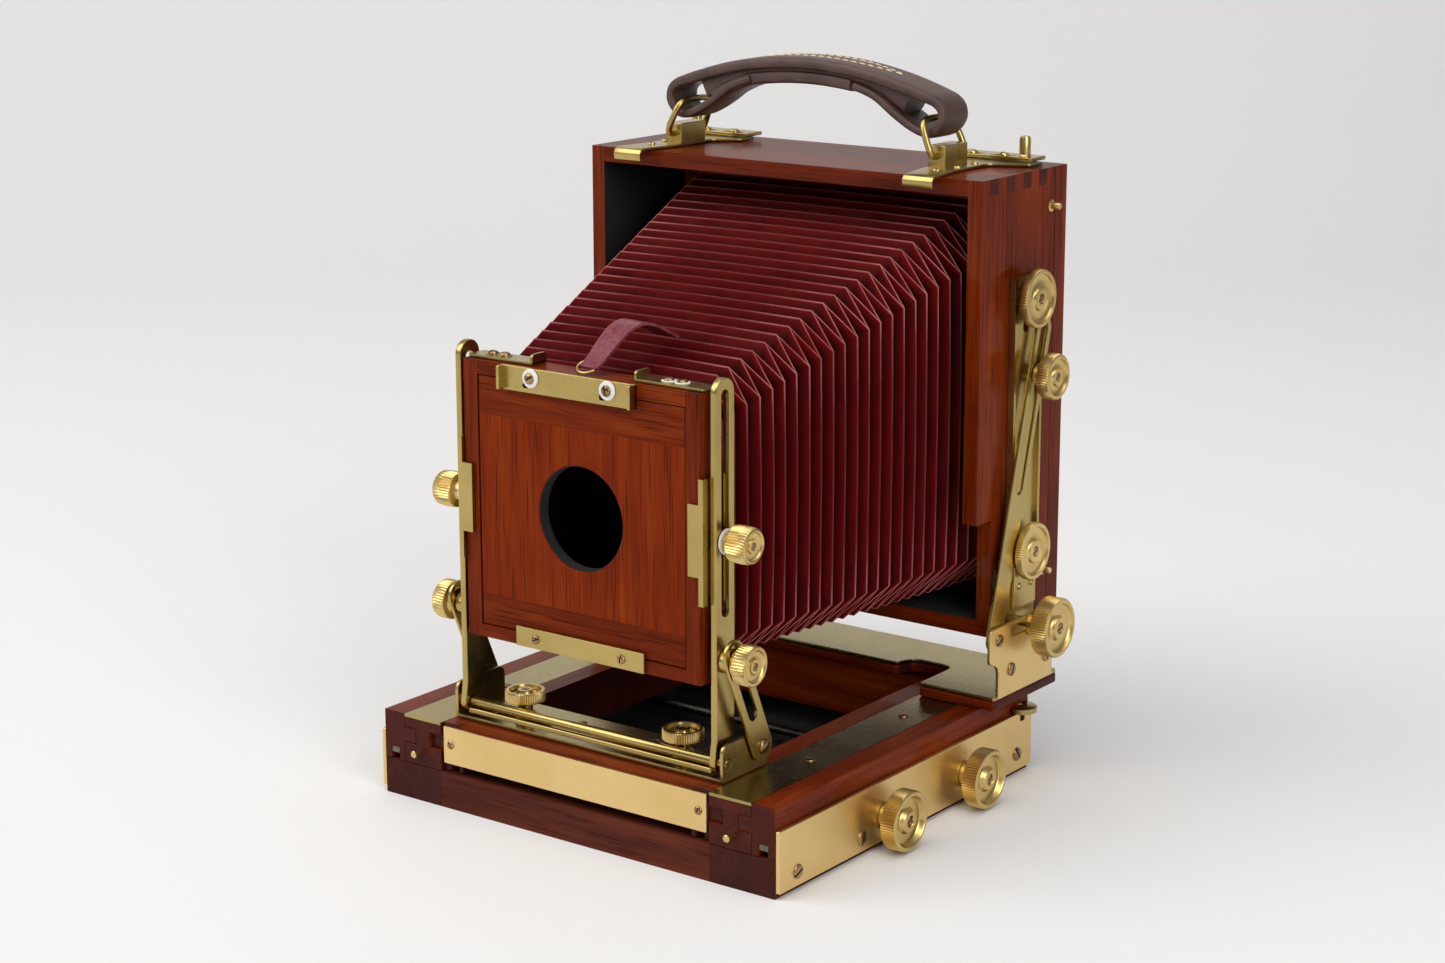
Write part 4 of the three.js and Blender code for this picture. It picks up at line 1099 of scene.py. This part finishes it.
def tab_strip():
    """A leather tab that stands up behind a small ring and bends back to the bellows' top."""
    path = smooth_path([(3.2, 10.5, 188.6), (4.0, 15, 192.0), (5.0, 21, 197.5), (6.2, 27, 202.0),
                        (7.6, 32.5, 203.6),
                        (9.4, 38, 202.2), (11.0, 43, 199.4), (12.4, 48, 196.6)], 4)
    across = Vector((1, -0.12, 0)).normalized()
    rows = []
    for i, place in enumerate(path):
        along = (path[min(i + 1, len(path) - 1)] - path[max(i - 1, 0)]).normalized()
        up = across.cross(along)
        wide = 4.4 + 1.8 * min(1.0, i / 12)
        rows.append([tuple(place + across * u + up * v)
                     for u, v in ((-wide, 0.55), (wide, 0.55), (wide, -0.55), (-wide, -0.55))])
    made = piece_of("bellows_tab", lofted("bellows_tab", rows, 40), LEATHER_RED, None, slot="bellows_cloth")
    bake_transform(made)
    ring_points = [(1.6 + 4.7 * math.cos(a), 12.0 + 3.4 * math.sin(a), 188.8 + 2.0 * math.sin(a))
                   for a in (2 * math.pi * k / 12 for k in range(12))]
    wire("bellows_tab_ring", ring_points, 0.5, BRASS_BRIGHT, "lens_frame", closed=True)


tab_strip()

# ---------------------------------------------------------------- rear standard
def wing_shape(half, inset=0.0):
    y0, y1 = 143 + inset, 194 - inset
    return rounded([(-half, y0, 1), (-69 - inset, y0, 1), (-69 - inset, 170 + inset, 6),
                    (-50 + inset, 170 + inset, 6),
                    (-46, 161 + inset, 3), (46, 161 + inset, 3), (50 - inset, 170 + inset, 6),
                    (69 + inset, 170 + inset, 6),
                    (69 + inset, y0, 1), (half, y0, 1), (half, y1, 2), (-half, y1, 2)], 1)


plate("wing_wood", wing_shape(105.1), [], "XY", 36.0, 40.0, WOOD_WING, "rear_wing", 0.6,
      replaces=["wing_board"],
      slot="wood")
plate("wing_sheet", wing_shape(105.1, 0.2), [], "XY", 40.3, 41.8, BRASS_DARK_REFLECTION, "rear_wing", 0.2,
      replaces=["wing_plate"])

BRACE_STUD = (175, 171)
BRACE_PIVOT = (146.4, 66)
FOOT_PIVOT = (172, 67)
DISC_KNOB = [(98.9, 0), (98.9, 2.0), (102.6, 2.0), (102.7, 6.0), (103.5, 6.4), (103.8, 11.2),
             (104.1, 12.0, 0.525),
             (106.6, 12.0, 0.525), (106.9, 11.6), (107.0, 11.0), (106.9, 10.2), (105.9, 9.8), (105.6, 9.2),
             (105.6, 5.2),
             (105.9, 4.8), (106.8, 4.5), (106.9, 4.0), (106.9, 2.2), (106.3, 2.0), (106.3, 0)]
BRACE_KNOB = [(98.9, 0), (98.9, 2.0), (103.6, 2.0), (103.8, 4.6), (107.2, 4.8), (107.5, 5.4), (107.9, 8.8),
              (108.3, 9.5, 0.525),
              (112.8, 9.5, 0.525), (113.2, 9.0), (113.4, 8.4), (113.3, 7.7), (112.2, 7.3), (111.9, 6.8),
              (111.9, 4.0),
              (112.2, 3.6), (113.1, 3.3), (113.1, 1.8), (112.6, 1.7), (112.6, 0)]
FOOT_KNOB = [(98.9, 0), (98.9, 2.0), (105.4, 2.0), (105.6, 5.4), (108.8, 5.6), (110.4, 6.2), (111.0, 11.6),
             (111.5, 12.4, 0.6),
             (118.2, 12.4, 0.6), (118.7, 11.9), (118.9, 11.2), (118.8, 10.4), (117.4, 9.9), (117.0, 9.3),
             (117.0, 5.4),
             (117.4, 4.9), (118.6, 4.5), (118.7, 4.0), (118.7, 2.4), (118.0, 2.2), (118.0, 0)]

for side, s in SIDES:
    facing = side_facing(s)
    bracket = rounded([(146.5, 40.5, 0.5), (189.5, 40.5, 0.5), (189.5, 71, 1.5), (139.5, 71, 2),
                       (139.5, 57, 2),
                       (146.5, 54, 5)], 1)
    slot_hole = stadium((158, 67), (182, 67), 2.4)
    plate(f"wing_bracket_{side}", bracket, [slot_hole], "YZ", *span(s, 103.7, 105.2), BRASS_PLATE,
          "rear_wing", 0.25)
    strut(f"rear_strut_{side}", BRACE_PIVOT, BRACE_STUD, s * 101.9, 11.0, 24.0, 62.0, f"rear_brace_{side}",
          f"rear_brace_{side}")
    side_knob(f"brace_knob_{side}", BRACE_KNOB, s, *BRACE_STUD, f"brace_knob_{side}", f"brace_knob_{side}",
              56, 112.65,
              1.6)
    side_knob(f"foot_knob_{side}", FOOT_KNOB, s, *FOOT_PIVOT, f"foot_knob_{side}", f"foot_knob_{side}", 72,
              118.05, 2.1)
    side_knob(f"lower_disc_{side}", DISC_KNOB, s, 171, 98, f"lower_disc_{side}", f"lower_disc_{side}", 70,
              106.35, 1.9)
    side_knob(f"upper_disc_{side}", DISC_KNOB, s, 171, 203, f"upper_disc_{side}", f"upper_disc_{side}", 70,
              106.35, 1.9)
    for n, (y, z, r) in enumerate(((146.4, 65.6, 2.6), (156.3, 51.0, 2.8), (184.0, 50.0, 2.6))):
        screw(f"bracket_screw_{side}_{n}", (s * 105.25, y, z), facing, r, "rear_wing", "flat", 30 + 40 * n)
    board(f"foot_block_{side}", *span(s, 100.1, 101.6), 163.5, 180.5, 74, 92, BRASS_Z, "rear_box", 0.35)
    for n, (y, z) in enumerate(((167.5, 83), (176.5, 83))):
        screw(f"foot_block_screw_{side}_{n}", (s * 101.6, y, z), facing, 1.5, "rear_box", "round",
              20 + 50 * n,
              finish=BRASS_BRIGHT)
    for n, (y, z) in enumerate(((194.0, 237.7), (193.0, 84.9))):
        turned(f"back_pin_{side}_{n}", mirrored(s,
                                                [(98.2, 0), (98.2, 1.4), (102.6, 1.4), (103.0, 1.1),
                                                 (103.0, 0)]),
               (y - 3, z), "X", BRASS_BRIGHT, "rear_box", sides=24)
        turned(f"back_pin_collar_{side}_{n}", mirrored(s,
                                                       [(98.3, 1.4), (98.3, 2.5), (98.9, 2.5), (99.1, 2.2),
               (99.1, 1.4)]), (y - 3, z), "X", BRASS_BRIGHT, "rear_box", sides=24)


# ---------------------------------------------------------------- top of the box
TOP_Z = 253.6
RING_X, RING_Y, RING_Z = 66.5, 163.0, 259.0
for side, s in SIDES:
    outline = rounded([(s * 66, 134.6, 0), (s * 80, 134.6, 0), (s * 77, 150, 8), (s * 77, 176, 5),
                       (s * 93, 184, 3),
                       (s * 93, 193.5, 1), (s * 52, 193.5, 1), (s * 52, 184, 3), (s * 63, 176, 5),
                       (s * 63, 150, 8)], 1)
    plate(f"top_sheet_{side}", outline, [], "XY", TOP_Z, TOP_Z + 1.2, BRASS_DARK_REFLECTION, "rear_box", 0.2,
          replaces=[f"top_plate_{side}"])
    curl = [(135, 254.8), (132.6, 254.7), (131, 254), (130.1, 252.6), (130, 251), (130.5, 249.6),
            (131.5, 250.1),
            (131.2, 251.1), (131.3, 252.1), (131.9, 253), (132.9, 253.5), (135, 253.6)]
    plate(f"top_lip_{side}", curl, [], "YZ", *span(s, 66, 80), BRASS_Z, "rear_box", 0.1)
    board(f"ring_block_{side}", *span(s, 62.5, 70.5), 154.5, 171.5, TOP_Z + 1.0, 263.5, BRASS_Y,
          "rear_box", 0.4)
    for n, (x, y) in enumerate(((74.2, 158), (73.6, 172), (72, 146))):
        screw(f"top_screw_{side}_{n}", (s * x, y, TOP_Z + 1.2), "+Z", 1.7, "rear_box", "round", 15 + 50 * n,
              finish=BRASS_BRIGHT)
    wire_points = [(0, -6.5, 0), (0, -9.5, 0), (0, -11.8, 0.2), (-0.6, -12.8, 2.5), (-1.6, -12.8, 5),
                   (-3.6, -12.2, 9.5),
                   (-5.0, -11.2, 13.0), (-5.6, -8.6, 14.6), (-5.6, -3, 14.7), (-5.6, 3, 14.7),
                   (-5.6, 8.6, 14.6),
                   (-5.0, 11.2, 13.0), (-3.6, 12.2, 9.5), (-1.6, 12.8, 5), (-0.6, 12.8, 2.5),
                   (0, 11.8, 0.2), (0, 9.5, 0),
                   (0, 6.5, 0)]
    wire(f"handle_ring_{side}", [(s * (RING_X + a), RING_Y + b, RING_Z + c) for a, b, c in wire_points],
         1.4,
         BRASS_X, f"handle_ring_{side}", replaces=[f"handle_ring_{side}"])
    bar = [(s * 52, 187), (s * 91, 187), (s * 91, 199), (s * 52, 199)]
    slots = [stadium((s * (x - 4), 190.5), (s * (x + 4), 190.5), 1.6) for x in (61, 76)]
    plate(f"latch_bar_{side}", rounded(bar, 0.6), slots, "XY", 255.1, 256.6, BRASS_X, f"back_latch_{side}",
          0.25,
          replaces=[f"back_latch_{side}"])
    turned(f"latch_post_{side}", [(256.5, 0), (256.5, 3.0), (257.2, 2.4), (263.4, 2.4), (264.6, 1.9),
                                  (265.0, 0)],
           (s * 84, 194), "Z", BRASS_BRIGHT, f"back_latch_{side}", sides=32)
    for n, x in enumerate((61, 76)):
        screw(f"latch_screw_{side}_{n}", (s * x, 190.5, 256.7), "+Z", 2.3, "rear_box", "round", 30 + 60 * n,
              finish=BRASS_BRIGHT)


# ---------------------------------------------------------------- handle
STRAP_FOOT, STRAP_RISE, STRAP_HALF = 273.5, 17.0, 73.0
COVER_UP = 2.2
LAYER_DROP = 3.8


def arch(x):
    u = max(-1.0, min(1.0, x / STRAP_HALF))
    return STRAP_FOOT + STRAP_RISE * max(0.0, math.cos(u * math.pi / 2)) ** 0.75


def under(x):
    """The lower layer leaves the cover towards the rings."""
    return arch(x) - LAYER_DROP - 4.5 * max(0.0, (abs(x) - 26) / 20) ** 1.5


def sweep(name, path, section, **more):
    """A leather strip along (x, z) points. section(t) gives its (y, up) outline at each place along it."""
    rows = []
    for i, (x, z) in enumerate(path):
        a, b = path[max(0, i - 1)], path[min(len(path) - 1, i + 1)]
        along = Vector((b[0] - a[0], b[1] - a[1])).normalized()
        rows.append([(x - along.y * up, RING_Y + y, z + along.x * up) for y,
                     up in section(i / (len(path) - 1))])
    return piece_of(name, lofted(name, rows, 60), LEATHER, "rear_box", slot="leather", **more)


OVAL_POINTS = 28
OVAL_POWER = 0.42  # below 1, its sides are flatter than an ellipse's


def oval(half_width, half_thick):
    out = []
    for k in range(OVAL_POINTS):
        angle = 2 * math.pi * k / OVAL_POINTS
        out.append(tuple(half * math.copysign(abs(part) ** OVAL_POWER, part)
                         for half, part in ((half_width, math.cos(angle)), (half_thick, math.sin(angle)))))
    return out


def strap_path():
    """From under the middle out round the right ring, over the top, round the left ring and back under."""
    end = [(26, under(26)), (36, under(36)), (46, 274.6), (53, 270.5), (58.5, 268.3), (63, 267.9),
           (66.7, 270.4),
           (68.6, 273.9), (68.0, 277.8), (65, 280.6), (60, 282.4), (54, arch(54) + COVER_UP)]
    top = [(x, arch(x) + COVER_UP) for x in range(46, -47, -8)]
    return [tuple(p) for p in smooth_path(end + top + [(-x, z) for x, z in reversed(end)], 5)]


def core_half(x):
    """Half the thickness of the filling between the cover and the lower layer."""
    return max(0.6, (arch(x) + COVER_UP - under(x)) / 2 - 1.4)


def handle():
    def cover_section(t):
        top = max(0.0, math.sin(math.pi * (t - 0.22) / 0.56)) if 0.22 < t < 0.78 else 0.0
        return oval(9.4 + 1.6 * top, 2.0 + 0.6 * min(1.0, 2 * top))

    cover = sweep("handle_cover", strap_path(), cover_section, replaces=["handle_strap"])
    sleeve = [(x, under(x)) for x in (-46 + 70 * i / 36 for i in range(37))]
    sweep("handle_sleeve", sleeve, lambda t: oval(8.6, 2.9))
    reach = 51
    core_x = [-reach + 2 * reach * i / 40 for i in range(41)]
    core = [(x, (arch(x) + COVER_UP + under(x)) / 2) for x in core_x]
    sweep("handle_core", core, lambda t: oval(7.4, core_half(-reach + 2 * reach * t)))
    for dy in (4.4, -2.8):
        stitches(dy)


def stitches(dy):
    """A row of cream stitches along the handle's top, closing in towards its ends."""
    for n in range(17):
        x = -22 + 4.0 * n
        z = arch(x) + COVER_UP + 2.6
        slope = math.atan2(arch(x + 1) - arch(x - 1), 2)
        y = RING_Y + 0.8 + (dy - 0.8) * math.cos(0.5 * math.pi * (x / 44) ** 2)
        points = [(x + reach * math.cos(slope), y, z + reach * math.sin(slope) + lift)
                  for reach, lift in ((-1.4, -0.4), (-0.7, 0.1), (0.7, 0.1), (1.4, -0.4))]
        wire(f"stitch_{'a' if dy > 0 else 'b'}_{n}", points, 0.48, THREAD, "rear_box", sides=2,
             slot="leather")


handle()


# ---------------------------------------------------------------- focusing screen springs
BACK_Z = 159  # the middle of the back


def screen_spring(name, x, s):
    """Half of a leaf spring: screwed to the back frame at its end, and pressing on the screen's frame."""
    path = [(s * 76, 204.0), (s * 70, 204.0), (s * 66.5, 206.0), (s * 62, 212.0), (s * 56, 213.9),
            (s * 30, 214.2), (0, 214.2)]
    rows = [[(x + dx, y + dy, BACK_Z + z) for dx, dy in ((-4.5, 0), (4.5, 0), (4.5, 0.8), (-4.5, 0.8))]
            for z, y in path]
    made = piece_of(name, lofted(name, rows, 40), BRASS_Z, None)
    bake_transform(made)
    screw(name + "_screw", (x, 204.8, BACK_Z + s * 73), "+Y", 2.2, "back_frame", "round", 30)


for side, s in SIDES:
    for way, sign in (("up", 1), ("down", -1)):
        screen_spring(f"spring_{way}_{side}", s * 71, sign)


# ---------------------------------------------------------------- floor, light and camera
def backdrop():
    """A seamless sweep of pale paper."""
    points, faces = [], []
    path = [(-3.2, 0.0), (1.2, 0.0)] + [(1.2 + 1.0 * math.sin(a), 1.0 - 1.0 * math.cos(a))
                                        for a in (math.radians(6 * k) for k in range(1, 16))] + [(2.2, 3.2)]
    for y, z in path:
        points += [(-4.0, y, z), (4.0, y, z)]
    for i in range(len(path) - 1):
        faces.append((2 * i, 2 * i + 1, 2 * i + 3, 2 * i + 2))
    mesh = bpy.data.meshes.new("backdrop")
    mesh.from_pydata(points, [], faces)
    finish_mesh(mesh, 60)
    made = new_object("backdrop", mesh)
    made.rotation_euler.z = VIEW_AZ
    mesh.materials.append(plain("paper", (0.812, 0.804, 0.796), (0.818, 0.810, 0.802), (0.78, 0.82), 400,
                                strength=0.02))


VIEW_AZ, VIEW_EL, VIEW_ROLL = (math.radians(a) for a in (36.854, 12.761, -0.122))
VIEW_FROM = spot(672.1, -800.6, 403.9)
VIEW_SHIFT = (0.0038, -0.0386)
SENSOR, LENS = 36.0, 70.33


def add_camera():
    data = bpy.data.cameras.new("view")
    made = new_object("view", data)
    back = Vector((math.sin(VIEW_AZ) * math.cos(VIEW_EL), -math.cos(VIEW_AZ) * math.cos(VIEW_EL),
                   math.sin(VIEW_EL)))
    right = Vector((math.cos(VIEW_AZ), math.sin(VIEW_AZ), 0))
    up = back.cross(right)
    across = right * math.cos(VIEW_ROLL) + up * math.sin(VIEW_ROLL)
    above = up * math.cos(VIEW_ROLL) - right * math.sin(VIEW_ROLL)
    turn = Matrix((across, above, back)).transposed().to_4x4()
    made.matrix_world = Matrix.Translation(VIEW_FROM) @ turn
    data.sensor_width = SENSOR
    data.lens = LENS
    data.shift_x, data.shift_y = VIEW_SHIFT
    data.clip_start = 0.01
    bpy.context.scene.camera = made


def area_light(name, place, target, size, power, colour=(1, 1, 1), size_y=None):
    data = bpy.data.lights.new(name, "AREA")
    data.energy = power
    data.color = colour
    data.shape = "RECTANGLE"
    data.size = size
    data.size_y = size_y or size
    made = new_object(name, data)
    made.location = place
    aim = Vector(target) - Vector(place)
    made.rotation_euler = aim.to_track_quat("-Z", "Y").to_euler()


backdrop()
add_camera()
# name, place, target, size, power, colour, size_y
area_light("key", (-1.45, -1.35, 1.7), (0, -0.1, 0.10), 2.0, 36, (1.0, 0.985, 0.965))
area_light("fill", (1.9, -0.9, 1.2), (0, 0, 0.12), 1.3, 24, (1.0, 0.99, 0.97), 1.6)
area_light("top", (0.2, -0.6, 2.2), (0, -0.1, 0.1), 2.0, 20)
area_light("paper_light", (-0.2, 0.6, 1.9), (-0.7, 2.2, 0.8), 1.4, 6)
world = bpy.data.worlds.new("studio")
world.use_nodes = True
feed(world.node_tree, world.node_tree.nodes["Background"],
     {"Color": (0.95, 0.96, 1.0, 1), "Strength": 0.26})
bpy.context.scene.world = world
bpy.context.scene.view_settings.view_transform = "Standard"
